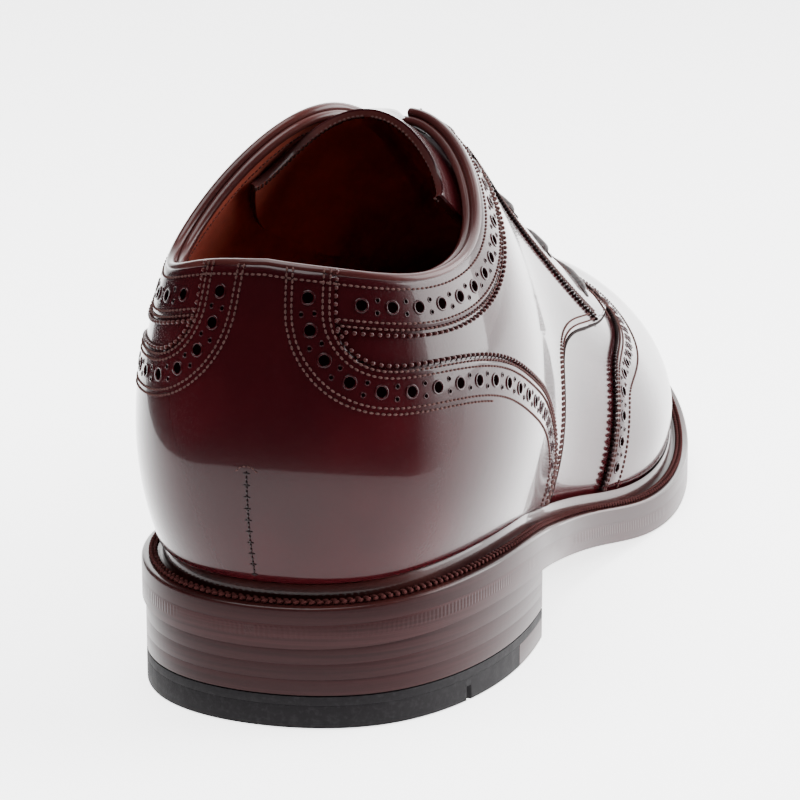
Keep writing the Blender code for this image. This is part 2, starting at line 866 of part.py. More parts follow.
def make_laces():
    """Straight bars over the throat, from eyelet to eyelet."""
    level = PATCH_GAP + OVERLAY_THICKNESS + 2 * GAP + LACE_RADIUS
    rows = [beside(facing_line(side, 60), -side * EYELET_SETBACK) for side in (1, -1)]
    for k in range(LACE_BARS):
        place = FIRST_EYELET + (LAST_EYELET - FIRST_EYELET) * k / (LACE_BARS - 1)
        ends = [row[int(place * (len(row) - 1))] for row in rows]
        middle = (abs(ends[0][0]) + abs(ends[1][0])) / 2
        halves_of_bar = []
        for end, side in zip(ends, (1, -1)):
            share = np.linspace(0, 1, 7)
            s = end[0] + (side * middle - end[0]) * share
            v = end[1] + (1 - end[1]) * share
            rest = level - LACE_DIP * share**3
            halves_of_bar.append(last_point(s, v) + last_normal(s, v) * rest[:, None])
        path = np.concatenate([halves_of_bar[0], halves_of_bar[1][-2::-1]])
        tube(f"lace_bar_{k + 1}", path, LACE_RADIUS, "dark_lace")


def place_on_origin():
    """Puts the middle of the sole's box at the origin."""
    loop = sole_outline()
    middle = (loop.max(0) + loop.min(0)) / 2
    for obj in bpy.data.objects:
        obj.location -= Vector((*middle, 0.0))


def main():
    clear_scene()
    make_heel()
    make_outsole()
    make_welt()
    make_insole()
    make_upper()
    make_counter()
    for side, word in ((1, "outer"), (-1, "inner")):
        make_quarter(side, f"quarter_{word}")
        make_collar(side, f"collar_{word}")
        make_eyestay(side, f"eyestay_{word}")
    make_wing_cap()
    make_tongue()
    make_bead()
    make_laces()
    place_on_origin()


main()
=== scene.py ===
"""Looks of the open-laced wingtip shoe, right foot.

The pieces are made in the shoemaker's frame: y = 0 at the rearmost point of the sole, x = 0 in
the middle of the heel, z = 0 on the floor. add_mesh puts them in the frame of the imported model.
"""

import math

import bpy
import numpy as np
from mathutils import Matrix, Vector


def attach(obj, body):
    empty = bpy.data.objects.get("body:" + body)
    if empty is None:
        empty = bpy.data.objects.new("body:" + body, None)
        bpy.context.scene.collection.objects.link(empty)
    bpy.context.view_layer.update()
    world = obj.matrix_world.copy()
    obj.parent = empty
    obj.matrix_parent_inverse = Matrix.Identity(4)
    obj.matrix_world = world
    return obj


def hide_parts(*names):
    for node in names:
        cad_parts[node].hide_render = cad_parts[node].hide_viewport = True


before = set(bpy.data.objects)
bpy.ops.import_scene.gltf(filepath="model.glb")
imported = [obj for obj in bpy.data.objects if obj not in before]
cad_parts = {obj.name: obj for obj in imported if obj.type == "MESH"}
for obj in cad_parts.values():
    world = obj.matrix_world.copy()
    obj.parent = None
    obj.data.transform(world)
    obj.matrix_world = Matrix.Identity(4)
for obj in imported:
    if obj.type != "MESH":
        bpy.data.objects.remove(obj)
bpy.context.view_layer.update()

# Driving sizes
SOLE_LENGTH = 0.302
BALL_WIDTH = 0.108
HEEL_HEIGHT = 0.0177
TOE_SPRING = 0.0130
LAST_HEIGHT = 0.100
HEEL_BREAST = 0.078
HEEL_SET_IN = 0.0008

# Sole pieces
OUTSOLE_THICKNESS = 0.0052
WELT_THICKNESS = 0.0038
WELT_FLAT = 0.0046
RIB_HEIGHT = 0.0034
FEATHER_INSET = 0.0078
RUBBER_THICKNESS = 0.0050
RUBBER_LAYER = 0.0020
RUBBER_LENGTH = 0.0560
SLIT_WIDTH = 0.0016
SLIT_DEPTH = 0.0030
SLIT_PLACE = 0.0310
LIFTS = 3

# Leather
WALL = 0.0020
TONGUE_THICKNESS = 0.0018
QUARTER_THICKNESS = 0.0011
OVERLAY_THICKNESS = 0.0017
COLLAR_WIDTH = 0.0115
EYESTAY_WIDTH = 0.0175
LACE_RADIUS = 0.0011
LACE_BARS = 5
EYELET_SETBACK = 0.0075
FIRST_EYELET = 0.07
LAST_EYELET = 0.83

# Clearances
GAP = 0.0003
PATCH_GAP = 0.0006
TONGUE_GAP = 0.0011

# Layout of the grids: shares of s and v, and counts of points
NECK_FAN = 0.3
NECK_SPREAD = 1.15
COUNTER_TOE = 0.006
CORNER_STEP = 0.004
FOOT_CROWDING = 1.2
TONGUE_CROWDING = 1.6
FOOT_LIFT_FADE = 4

# Levels over the upper's form
SHOW_LOW = 0.00005
EDGE_DROP = 0.00045
QUARTER_TOP = PATCH_GAP + QUARTER_THICKNESS
OVERLAY_TOP = PATCH_GAP + OVERLAY_THICKNESS
OVERLAY_LOW = QUARTER_TOP - 0.0004
COLLAR_TOP = OVERLAY_TOP - 0.0003
CAP_TOP = 0.0011
LACE_LEVEL = OVERLAY_TOP + 0.0004

# Ends of the collar bands: under the counter's neck, as s, and in front of the facing's corner
COLLAR_UNDER = 0.006
COLLAR_STOP = 0.004

# Pinked edges
PINK_PITCH = 0.0017
PINK_DEPTH = 0.0010
PINK_INSET = 0.0013
TOOTH_WIDTH = 0.0010
TOOTH_SHARE = 0.66
TOOTH_OUT = 0.0002
TOOTH_SINK = 0.0003
# Painted shadow line along an edge: the dark tube's radius and how far it sinks
SHADE_LINE_RADIUS = 0.00035
SHADE_LINE_SINK = 0.0002

# Distances of the broguing from a pinked edge
EDGE_STITCHES = (0.0010, 0.0023)
HOLE_ROW = 0.0052
COLLAR_HOLE_ROW = 0.0056
INNER_STITCHES = (0.0084, 0.0096)
LAST_INNER_STITCH = 48

# Punched holes
HOLE_PITCH = 0.0069
BIG_HOLE = 0.00125
BIG_LIP = 0.00026
SMALL_HOLE = 0.00045
SMALL_LIP = 0.00014
SMALL_SPREAD = 0.0013
HOLE_LIFT = 0.00006
EYELET = 0.0017
EYELET_LIP = 0.0003
EYELET_ROOM = 0.0001

# Distances of the plain stitch rows from their edges
QUARTER_STITCHES = (0.0014, 0.0030)
FACING_STITCHES = 0.0016
TOPLINE_STITCHES = 0.0022
LINING_STITCHES = 0.0032
WELT_STITCHES = (0.0021, 0.0031)

# Threads: TWISTS is per metre
STITCH_PITCH = 0.00125
STITCH_WIDTH = 0.00056
STITCH_SHARE = 0.88
TWISTS = 1 / 0.0006
WELT_PITCH = 0.0017
WELT_STITCH_WIDTH = 0.00105
WELT_STITCH_LIFT = 0.0002

# Closed seam at the back: a little inside of the middle, from v low to v high. Its threads are
# pitch, width and share, and its cap is an arch's half width in s and height in v
SEAM_PLACE = -0.003
SEAM_FOOT = 0.030
SEAM_HEAD = 0.157
SEAM_PITCH = 0.0025
SEAM_BAR = 0.0017
SEAM_BAR_WIDTH = 0.0004
SEAM_THREAD = (0.0010, 0.0005, 1.1)
SEAM_CAP = (0.007, 0.016)
SEAM_CAP_THREAD = (0.0009, 0.00035, 1.0)

# Bar tack at the foot of a facing
TACK_LENGTH = 0.0100
TACK_PITCH = 0.0009

# Tongue: s of the arch's shoulders, the arch's rise in s, and how far the leaf swells in the throat,
# between two values of s with a fade inside each. Its thread is pitch and width
TONGUE_SHOULDER = 0.195
TONGUE_ARCH = 0.048
TONGUE_SWELL = 0.0030
SWELL_ENDS = (0.24, 0.53)
SWELL_FADE = 0.06
SWELL_STEEPNESS = 1.6
TONGUE_STITCH = (0.0014, 0.0008)

# Rolled edge on the topline and the binding inside it
ROLL_RADIUS = 0.0012
ROLL_HEIGHT = 0.0009
ROLL_OVER = 0.0002
BINDING_RADIUS = 0.0011
BINDING_DEPTH = 0.0012
BINDING_OVER = 0.0004

# Lace: its flatness, and the hidden end in an eyelet as a share of the way to the facing's edge
LACE_FLATNESS = 0.55
LACE_HIDDEN = 0.22
LACE_DIVE = 0.0015
LACE_OVER_TONGUE = 0.0004

# Edges of the sole's plates
PLATE_GAP = 0.00002
RUBBER_ROUND = 0.00004
LAYER_ROUND = 0.00006
CORNER_ROUND = 0.00012
LIFT_GAP = 0.00001
LIFT_ROUND = 0.00001
WELT_ROUND = 0.0007
WELT_GROOVE = 0.0012
WELT_GROOVE_DEPTH = 0.0004
RIB_TURN = 0.86 * math.pi
RIB_FULLNESS = 0.7

# Table under the shoe: a round near edge just outside the picture
TABLE_RADIUS = 0.2
TABLE_MIDDLE = (0.0, -0.16)
TABLE_ARC = (225, 360)
TABLE_FAR = ((0.205, -0.10), (0.225, -0.05), (0.262, -0.005), (3.0, 2.0), (3.0, 5.0), (-4.0, 5.0))
TABLE_DROP = 0.0003

# Studio: each lamp's name, place, size and power
BRIGHT_WAY = (0.309, 0.951, 0.0)
STUDIO_LIGHT = 5.5
STUDIO_STOPS = ((0.30, (0.010, 0.009, 0.0095, 1.0)), (0.60, (1.0, 1.0, 1.0, 1.0)))
LIGHTS_AIM = (0.0, 0.0, 0.05)
LAMPS = (
    ("overhead", (-0.15, -0.28, 1.25), (1.0, 0.9), 30.0),
    ("right_panel", (1.0, 0.53, 0.45), (0.9, 0.9), 34.0),
)

# Camera: where it stands, seen from a point at the back of the shoe, and what it is turned to
CAMERA_AZIMUTH = 24.0
CAMERA_HEIGHT = 9.7
CAMERA_DISTANCE = 0.65
CAMERA_FROM = (-0.0198, 0.0, 0.118)
CAMERA_AIM = (0.0446, -0.0335, 0.0828)
CAMERA_LENS = 141.5
CAMERA_NEAR = 0.01
SENSOR = 36.0

SIDES = ((1, "outer"), (-1, "inner"))

# Welt's outer edge, clockwise from the back: y as a share of SOLE_LENGTH, x of BALL_WIDTH
SOLE_OUTLINE = (
    (0.000, 0.000),
    (0.030, 0.240),
    (0.127, 0.372),
    (0.245, 0.380),
    (0.360, 0.340),
    (0.480, 0.360),
    (0.600, 0.392),
    (0.700, 0.364),
    (0.800, 0.290),
    (0.890, 0.170),
    (0.952, 0.040),
    (0.988, -0.085),
    (1.000, -0.210),
    (0.986, -0.340),
    (0.945, -0.450),
    (0.880, -0.535),
    (0.800, -0.585),
    (0.710, -0.600),
    (0.620, -0.545),
    (0.500, -0.435),
    (0.380, -0.350),
    (0.260, -0.345),
    (0.127, -0.374),
    (0.030, -0.240),
)

# Underside of the outsole: y share, height as shares of HEEL_HEIGHT and of TOE_SPRING
UNDERSIDE = (
    (0.00, 1.000, 0.00),
    (0.25, 0.970, 0.00),
    (0.34, 0.655, 0.00),
    (0.44, 0.356, 0.00),
    (0.54, 0.068, 0.00),
    (0.62, 0.000, 0.00),
    (0.66, 0.000, 0.00),
    (0.76, 0.000, 0.07),
    (0.87, 0.000, 0.52),
    (1.00, 0.000, 1.00),
)

# Where each rib meets the ridge: s, y as a share of SOLE_LENGTH, x of BALL_WIDTH
RIDGE = (
    (0.00, 0.125, 0.000),
    (0.10, 0.135, 0.000),
    (0.22, 0.215, 0.000),
    (0.34, 0.330, -0.010),
    (0.44, 0.420, -0.030),
    (0.54, 0.510, -0.050),
    (0.64, 0.600, -0.070),
    (0.74, 0.680, -0.090),
    (0.84, 0.745, -0.112),
    (0.93, 0.785, -0.131),
    (1.00, 0.800, -0.140),
)

# Profile from the side: y share, height of the ridge over the welt as a share of LAST_HEIGHT
PROFILE = (
    (0.000, 0.983),
    (0.125, 0.983),
    (0.215, 0.985),
    (0.300, 0.942),
    (0.360, 0.888),
    (0.420, 0.822),
    (0.510, 0.719),
    (0.600, 0.613),
    (0.680, 0.530),
    (0.745, 0.472),
    (0.800, 0.425),
    (0.880, 0.365),
    (0.950, 0.310),
    (1.000, 0.280),
)

# Cross-sections: s, squareness, and the swell of the outer and inner side as shares of BALL_WIDTH
SECTION = (
    (0.00, 3.4, 0.057, 0.057),
    (0.10, 3.4, 0.059, 0.061),
    (0.22, 3.2, 0.054, 0.051),
    (0.34, 2.8, 0.046, 0.035),
    (0.44, 2.3, 0.039, 0.028),
    (0.54, 2.0, 0.037, 0.031),
    (0.64, 1.9, 0.035, 0.035),
    (0.74, 2.0, 0.033, 0.039),
    (0.84, 2.1, 0.031, 0.037),
    (0.93, 2.2, 0.030, 0.031),
    (1.00, 2.2, 0.028, 0.028),
)

# Topline on each side, from the back to the top of the facing: s, v
TOPLINE_OUTER = (
    (0.000, 0.463),
    (0.050, 0.447),
    (0.100, 0.421),
    (0.150, 0.422),
    (0.200, 0.473),
    (0.250, 0.605),
    (0.280, 0.745),
    (0.305, 0.925),
)
TOPLINE_INNER = (
    (0.000, 0.463),
    (0.050, 0.447),
    (0.095, 0.415),
    (0.140, 0.440),
    (0.180, 0.550),
    (0.209, 0.653),
    (0.243, 0.770),
    (0.275, 0.830),
    (0.305, 0.862),
)

# Front edge of the facing, from its top to the quarter's lower corner: s, v outer, v inner
FACING = (
    (0.305, 0.925, 0.862),
    (0.385, 0.870, 0.850),
    (0.470, 0.790, 0.805),
    (0.540, 0.695, 0.730),
    (0.595, 0.595, 0.645),
    (0.638, 0.500, 0.560),
)

# Edge of the vamp under the facings, to where it closes at the foot of the tongue: s, v
THROAT = (
    (0.305, 0.900),
    (0.400, 0.850),
    (0.470, 0.830),
    (0.520, 0.860),
    (0.545, 0.930),
    (0.560, 1.000),
)

# Front edge of the counter, from its neck at the back down to the welt: s, v
COUNTER = (
    (0.047, 0.450),
    (0.045, 0.395),
    (0.047, 0.345),
    (0.064, 0.297),
    (0.100, 0.283),
    (0.145, 0.270),
    (0.190, 0.240),
    (0.240, 0.197),
    (0.300, 0.158),
    (0.336, 0.110),
    (0.350, 0.055),
    (0.350, 0.000),
)

# Front edge of the quarter, from the welt up; it ends at the facing's lower corner: s, v
QUARTER = (
    (0.366, 0.000),
    (0.374, 0.100),
    (0.382, 0.200),
    (0.405, 0.275),
    (0.460, 0.335),
    (0.530, 0.395),
)

# Back edge of the wing cap, from the welt to its point on the ridge: v, s outer, s inner
WING = (
    (0.000, 0.488, 0.430),
    (0.110, 0.498, 0.446),
    (0.215, 0.516, 0.475),
    (0.325, 0.555, 0.530),
    (0.430, 0.630, 0.600),
    (0.560, 0.700, 0.685),
    (0.760, 0.770, 0.765),
    (1.000, 0.820, 0.820),
)

# Side edge of the tongue, from its top to its foot under the vamp: s, v
TONGUE = (
    (0.195, 0.560),
    (0.225, 0.470),
    (0.270, 0.430),
    (0.340, 0.430),
    (0.430, 0.500),
    (0.600, 0.600),
)


def spline(x, rows, column=1):
    """A natural cubic spline through one column of a table, over its first column."""
    knots = np.array([row[0] for row in rows], float)
    values = np.array([row[column] for row in rows], float)
    count = len(knots)
    step = np.diff(knots)
    system = np.eye(count)
    right = np.zeros(count)
    for i in range(1, count - 1):
        system[i, i - 1 : i + 2] = step[i - 1], 2 * (step[i - 1] + step[i]), step[i]
        right[i] = 6 * ((values[i + 1] - values[i]) / step[i] - (values[i] - values[i - 1]) / step[i - 1])
    bend = np.linalg.solve(system, right)
    x = np.asarray(x, float)
    i = np.clip(np.searchsorted(knots, x) - 1, 0, count - 2)
    b = (x - knots[i]) / step[i]
    a = 1 - b
    curve = ((a**3 - a) * bend[i] + (b**3 - b) * bend[i + 1]) * step[i] ** 2 / 6
    return a * values[i] + b * values[i + 1] + curve


def closed_spline(points, steps):
    """A smooth closed curve through the points, with steps points for each of them."""
    points = np.asarray(points, float)
    count = len(points)
    step = np.linalg.norm(np.roll(points, -1, 0) - points, axis=1) ** 0.5
    system = np.zeros((count, count))
    right = np.zeros((count, 2))
    for i in range(count):
        after = (i + 1) % count
        system[i, i - 1] += step[i - 1]
        system[i, i] += 2 * (step[i - 1] + step[i])
        system[i, after] += step[i]
        ahead = (points[after] - points[i]) / step[i]
        behind = (points[i] - points[i - 1]) / step[i - 1]
        right[i] = 6 * (ahead - behind)
    bend = np.linalg.solve(system, right)
    b = np.linspace(0, 1, steps, endpoint=False)[:, None]
    a = 1 - b
    pieces = []
    for i in range(count):
        after = (i + 1) % count
        curve = ((a**3 - a) * bend[i] + (b**3 - b) * bend[after]) * step[i] ** 2 / 6
        pieces.append(a * points[i] + b * points[after] + curve)
    return np.concatenate(pieces)


def inset(loop, distance):
    """The closed outline moved inwards."""
    along = np.roll(loop, -1, 0) - np.roll(loop, 1, 0)
    along /= np.linalg.norm(along, axis=1)[:, None]
    return loop + np.stack([-along[:, 1], along[:, 0]], 1) * distance


def halves(loop):
    """The outer and the inner half of an outline, each from the back to the toe."""
    loop = np.roll(loop, -int(np.argmin(loop[:, 1])), 0)
    toe = int(np.argmax(loop[:, 1]))
    return loop[: toe + 1], np.concatenate([loop[toe:], loop[:1]])[::-1]


def distances_along(line):
    """Each point's distance along a line."""
    steps = np.linalg.norm(np.diff(line, axis=0), axis=1)
    return np.concatenate([[0.0], np.cumsum(steps)])


def lengths_along(line):
    """Each point's distance along a line, as a share of the line's length."""
    distance = distances_along(line)
    return distance / distance[-1]


def at_share(line, share):
    """The points of a line at these shares of its length."""
    distance = lengths_along(line)
    return np.stack([np.interp(share, distance, column) for column in line.T], -1)


def underside(y):
    """Height of the outsole's underside: arched at the waist, sprung at the toe."""
    share = np.clip(np.asarray(y) / SOLE_LENGTH, 0, 1)
    height = HEEL_HEIGHT * spline(share, UNDERSIDE, 1) + TOE_SPRING * spline(share, UNDERSIDE, 2)
    return np.maximum(height, 0.0)


def outsole_top(y):
    """Height of the outsole's upper face."""
    return underside(y) + OUTSOLE_THICKNESS


def welt_top(y):
    """Height of the welt's flat, where the upper's form begins."""
    return outsole_top(y) + GAP + WELT_THICKNESS


def sole_outline():
    """The welt's outer edge as a smooth closed loop."""
    return closed_spline([(x * BALL_WIDTH, y * SOLE_LENGTH) for y, x in SOLE_OUTLINE], 16)


SOLE_LOOP = sole_outline()
MIDDLE = np.array([*((SOLE_LOOP.max(0) + SOLE_LOOP.min(0)) / 2), 0.0])
FEATHER = halves(inset(SOLE_LOOP, FEATHER_INSET))

# rise * (1 - rise) ** 2 is at most 4 / 27, so this brings the swell's peak to 1
SWELL_PEAK = 27 / 4


def last_point(s, v):
    """A point of the upper's form."""
    s, v = np.broadcast_arrays(np.asarray(s, float), np.asarray(v, float))
    s = (s + 1) % 2 - 1
    u = np.abs(s)
    outer = s >= 0
    foot = np.where(outer[..., None], at_share(FEATHER[0], u), at_share(FEATHER[1], u))
    ridge = np.stack([spline(u, RIDGE, 2) * BALL_WIDTH, spline(u, RIDGE, 1) * SOLE_LENGTH], -1)
    squareness = spline(u, SECTION, 1)
    swell = np.where(outer, spline(u, SECTION, 2), spline(u, SECTION, 3)) * BALL_WIDTH
    rise = np.clip(v * (2 - v), 0, 1)
    reach = np.sign(1 - v) * np.sqrt(1 - rise**squareness)
    reach = reach + swell / np.linalg.norm(foot - ridge, axis=-1) * SWELL_PEAK * rise * (1 - rise) ** 2
    place = ridge + (foot - ridge) * reach[..., None]
    height = LAST_HEIGHT * spline(place[..., 1] / SOLE_LENGTH, PROFILE) * rise
    return np.concatenate([place, (welt_top(place[..., 1]) + height)[..., None]], -1)


def last_slopes(s, v, step=1e-3):
    """The form's slopes along s and along v."""
    along_s = (last_point(s + step, v) - last_point(s - step, v)) / (2 * step)
    low = np.maximum(v - step, 0)
    along_v = (last_point(s, v + step) - last_point(s, low)) / (v + step - low)[..., None]
    return along_s, along_v


def unit(vectors):
    """The vectors with length 1."""
    return vectors / np.linalg.norm(vectors, axis=-1)[..., None]


def last_normal(s, v):
    """The way out of the upper's form."""
    along_s, along_v = last_slopes(s, np.minimum(v, 0.999))
    return unit(np.cross(along_s, along_v))


def form_points(line):
    """The form's points under a line of (s, v)."""
    return last_point(line[:, 0], line[:, 1])


def form_normals(line):
    """The form's normals under a line of (s, v)."""
    return last_normal(line[:, 0], line[:, 1])


def table_line(rows, side, column=1, count=40):
    """An edge given by a table, as (s, v) points evenly spaced on the form."""
    share = np.linspace(0, 1, 8 * count)
    place = np.linspace(0, 1, len(rows))
    s = spline(share, [(t, row[0]) for t, row in zip(place, rows)]) * side
    v = spline(share, [(t, row[column]) for t, row in zip(place, rows)])
    return even(np.stack([s, v], -1), count)


def even(line, count):
    """The line of (s, v) points with count points, evenly spaced on the form."""
    distance = lengths_along(form_points(line))
    share = np.linspace(0, 1, count)
    return np.stack([np.interp(share, distance, column) for column in line.T], -1)


def side_ways(line):
    """For each point of a line, the change of (s, v) for each metre to its left."""
    points = form_points(line)
    along_s, along_v = last_slopes(*line.T)
    left = unit(np.cross(np.cross(along_s, along_v), np.gradient(points, axis=0)))
    found = []
    for i in range(len(line)):
        slopes = np.stack([along_s[i], along_v[i]], 1)
        found.append(np.linalg.lstsq(slopes, left[i], rcond=None)[0])
    return np.array(found)


def beside(line, distance, steps=6):
    """The line moved sideways on the form, to its left when it is seen from outside."""
    for _ in range(steps):
        line = line + side_ways(line) * (distance / steps)
    return line


def between(first, second, rows):
    """A grid of (s, v) points from one line to another with as many points."""
    share = np.linspace(0, 1, rows)[:, None, None]
    return first[None] * (1 - share) + second[None] * share


def foot_v(s):
    """v just above the welt's rib, where the leather pieces end."""
    u = np.abs(s)
    y = np.where(s >= 0, at_share(FEATHER[0], u)[..., 1], at_share(FEATHER[1], u)[..., 1])
    rise = (RIB_HEIGHT + 2 * GAP) / (LAST_HEIGHT * spline(y / SOLE_LENGTH, PROFILE))
    return 1 - np.sqrt(1 - rise)


def lifted(line):
    """The line with v = 0 moved up to the top of the rib."""
    v = line[:, 1]
    return np.stack([line[:, 0], v + foot_v(line[:, 0]) * (1 - v) ** FOOT_LIFT_FADE], -1)


def topline(side):
    """The upper's top edge on one side, from the back to the facing."""
    rows = TOPLINE_OUTER if side > 0 else TOPLINE_INNER
    s = np.linspace(0, rows[-1][0], 200)
    return even(np.stack([s * side, spline(s, rows)], -1), 60)


def upper_edge(s):
    """v of the upper's top edge: the topline, the throat, and the ridge in front of it."""
    u = np.abs(s)
    rows = TOPLINE_OUTER if s >= 0 else TOPLINE_INNER
    if u <= rows[-1][0]:
        return float(spline(u, rows))
    if u < THROAT[-1][0]:
        return min(float(spline(u, THROAT)), 1.0)
    return 1.0


def facing_line(side, count):
    """The front edge of the facing, from its top down."""
    return table_line(FACING, side, 1 if side > 0 else 2, count)


def front_line(side, count=60):
    """The quarter's front edge, from the welt to the facing's lower corner."""
    corner = (FACING[-1][0], FACING[-1][1 if side > 0 else 2])
    return lifted(table_line(QUARTER + (corner,), side, count=count))


def stay_line(side):
    """The eyestay's back edge, down to the quarter's front edge."""
    line = beside(facing_line(side, 60), -side * EYESTAY_WIDTH)
    front = front_line(side)
    level = np.interp(np.abs(line[:, 0]), np.abs(front[:, 0]), front[:, 1])
    return even(line[line[:, 1] > level + CORNER_STEP], 80)


class Value:
    """A shader socket that takes part in sums."""

    def __init__(self, paint, socket):
        self.paint = paint
        self.socket = socket

    def math(self, operation, *values):
        made = self.paint.node("ShaderNodeMath", {"operation": operation}, values)
        return Value(self.paint, made.outputs[0])

    def __add__(self, other):
        return self.math("ADD", self, other)

    __radd__ = __add__

    def __mul__(self, other):
        return self.math("MULTIPLY", self, other)

    __rmul__ = __mul__

    def __sub__(self, other):
        return self.math("SUBTRACT", self, other)

    def __rsub__(self, other):
        return self.math("SUBTRACT", other, self)

    def sine(self):
        return self.math("SINE", self)

    def step(self, low, high):
        """0 below low, 1 above high, smooth between."""
        made = self.paint.node(
            "ShaderNodeMapRange", {"interpolation_type": "SMOOTHSTEP"}, (self, low, high)
        )
        return Value(self.paint, made.outputs[0])


class Nodes:
    """A node tree under construction."""

    def __init__(self, tree):
        self.tree = tree

    def node(self, kind, settings=None, values=()):
        """A node with its settings, then the values or links of its sockets."""
        made = self.tree.nodes.new(kind)
        for setting, value in (settings or {}).items():
            if setting == "stops":
                for element, (place, colour) in zip(made.color_ramp.elements, value):
                    element.position = place
                    element.color = colour
            else:
                setattr(made, setting, value)
        pairs = values.items() if isinstance(values, dict) else enumerate(values)
        for socket, value in pairs:
            self.put(value, made.inputs[socket])
        return made

    def put(self, value, socket):
        """A link where the value comes from a node, a constant otherwise, nothing for None."""
        value = value.socket if isinstance(value, Value) else value
        if isinstance(value, bpy.types.NodeSocket):
            self.tree.links.new(value, socket)
        elif value is not None:
            socket.default_value = value


class Paint(Nodes):
    """A Principled material under construction."""

    def __init__(self, name, **constants):
        self.material = bpy.data.materials.new(name)
        self.material.use_nodes = True
        super().__init__(self.material.node_tree)
        self.shader = self.tree.nodes["Principled BSDF"]
        for socket, value in constants.items():
            self.shader.inputs[socket.replace("_", " ")].default_value = value

    def place(self, scale=(1, 1, 1)):
        """The place on the object, stretched by scale."""
        made = self.node("ShaderNodeTexCoord")
        socket = Value(self, made.outputs["Object"])
        mapped = self.node("ShaderNodeMapping", values={"Vector": socket, "Scale": scale})
        return Value(self, mapped.outputs[0])

    def along_edge(self):
        """Distance along the edge and height, from the piece's own UV map."""
        made = self.node("ShaderNodeUVMap", {"uv_map": "edge"})
        parts = self.node("ShaderNodeSeparateXYZ", values=(Value(self, made.outputs[0]),))
        return Value(self, parts.outputs[0]), Value(self, parts.outputs[1])

    def noise(self, scale, detail=2.0, vector=None):
        """Soft noise from 0 to 1; scale is about the number of clouds in a metre."""
        made = self.node(
            "ShaderNodeTexNoise",
            values={"Vector": vector or self.place(), "Scale": scale, "Detail": detail},
        )
        return Value(self, made.outputs[0])

    def mix(self, factor, first, second):
        """From the first colour at factor 0 to the second at 1."""
        made = self.node(
            "ShaderNodeMix",
            {"data_type": "RGBA"},
            {0: factor, 6: self.colour(first), 7: self.colour(second)},
        )
        return Value(self, made.outputs[2])

    def colour(self, value):
        return value if isinstance(value, Value) else (*value, 1.0)

    def bump(self, height, distance, strength=1.0):
        """The normal of a surface raised by height times distance."""
        made = self.node(
            "ShaderNodeBump", values={"Strength": strength, "Distance": distance, "Height": height}
        )
        return Value(self, made.outputs[0])

    def feed(self, **sockets):
        """The values linked to the shader's inputs of the same names; gives the material."""
        for socket, value in sockets.items():
            self.put(value, self.shader.inputs[socket.replace("_", " ")])
        return self.material


def polished_leather(name, deep, bright, roughness=0.17, grain=0.00005):
    """Smooth calf: a deep colour that clears in clouds, fine grain and a wax shine."""
    paint = Paint(name, Coat_Roughness=0.05, Coat_IOR=1.2, Specular_IOR_Level=0.08)
    cloud = paint.noise(28, 3.0).step(0.35, 0.7)
    fine = paint.noise(1700, 3.0)
    pores = paint.noise(5200, 1.0).step(0.62, 0.74)
    polish = paint.noise(60, 2.0)
    return paint.feed(
        Base_Color=paint.mix(cloud, deep, bright),
        Roughness=polish * 0.09 + roughness,
        Coat_Weight=0.75 - pores * 0.15,
        Normal=paint.bump(fine - pores * 0.5, grain, 0.55),
    )


def lining_leather():
    """Rust-coloured, dull lining leather."""
    paint = Paint("rust_lining_leather", Specular_IOR_Level=0.35)
    cloud = paint.noise(45, 3.0).step(0.3, 0.7)
    return paint.feed(
        Base_Color=paint.mix(cloud, (0.2080, 0.0390, 0.0247), (0.3640, 0.0780, 0.0481)),
        Roughness=paint.noise(300) * 0.2 + 0.42,
        Normal=paint.bump(paint.noise(1500, 4.0), 0.00012, 0.6),
    )


def stacked_leather(name, deep, bright, hatched):
    """Burnished sole edge: fine level lines, and the wheel's ticks near the welt."""
    paint = Paint(name, Coat_Roughness=0.25, Coat_IOR=1.15, Specular_IOR_Level=0.06)
    lines = paint.noise(1.0, 4.0, paint.place((18, 18, 1500)))
    layers = paint.noise(1.0, 1.0, paint.place((3, 3, 330)))
    tone = (lines * 0.92 + layers * 0.08).step(0.25, 0.75)
    height = lines
    if hatched:
        distance, depth = paint.along_edge()
        turn = distance * (2 * math.pi / 0.00115)
        band = depth.step(-0.0030, -0.0027) * (1 - depth.step(-0.0006, -0.0003))
        worn = paint.noise(60, 1.0).step(0.35, 0.6)
        height = lines + turn.sine() * band * worn * 2.2
    return paint.feed(
        Base_Color=paint.mix(tone, deep, bright),
        Roughness=lines * 0.10 + 0.32,
        Coat_Weight=0.30 + layers * 0.04,
        Normal=paint.bump(height, 0.00004, 0.35),
    )


def rubber():
    """Dull charcoal rubber with a little dust."""
    paint = Paint("charcoal_rubber_top_piece", Specular_IOR_Level=0.06)
    dust = paint.noise(900, 3.0).step(0.45, 0.75)
    return paint.feed(
        Base_Color=paint.mix(dust, (0.0075, 0.0068, 0.0075), (0.012, 0.0110, 0.0120)),
        Roughness=paint.noise(400) * 0.2 + 0.5,
        Normal=paint.bump(paint.noise(2600, 3.0), 0.00008, 0.5),
    )


def thread(name, colour):
    """Dull thread, with painted shade in the twist: darker where it turns under."""
    paint = Paint(name, Specular_IOR_Level=0.05)
    twist = paint.noise(1.0, 1.0, paint.place((TWISTS, TWISTS, TWISTS)))
    # Painted shade: the twist's grooves get the thread's colour darkened to 0.45
    dark = tuple(0.45 * part for part in colour)
    return paint.feed(
        Base_Color=paint.mix(twist, dark, colour),
        Roughness=twist * 0.2 + 0.7,
        Normal=paint.bump(twist, 0.00008, 0.6),
    )


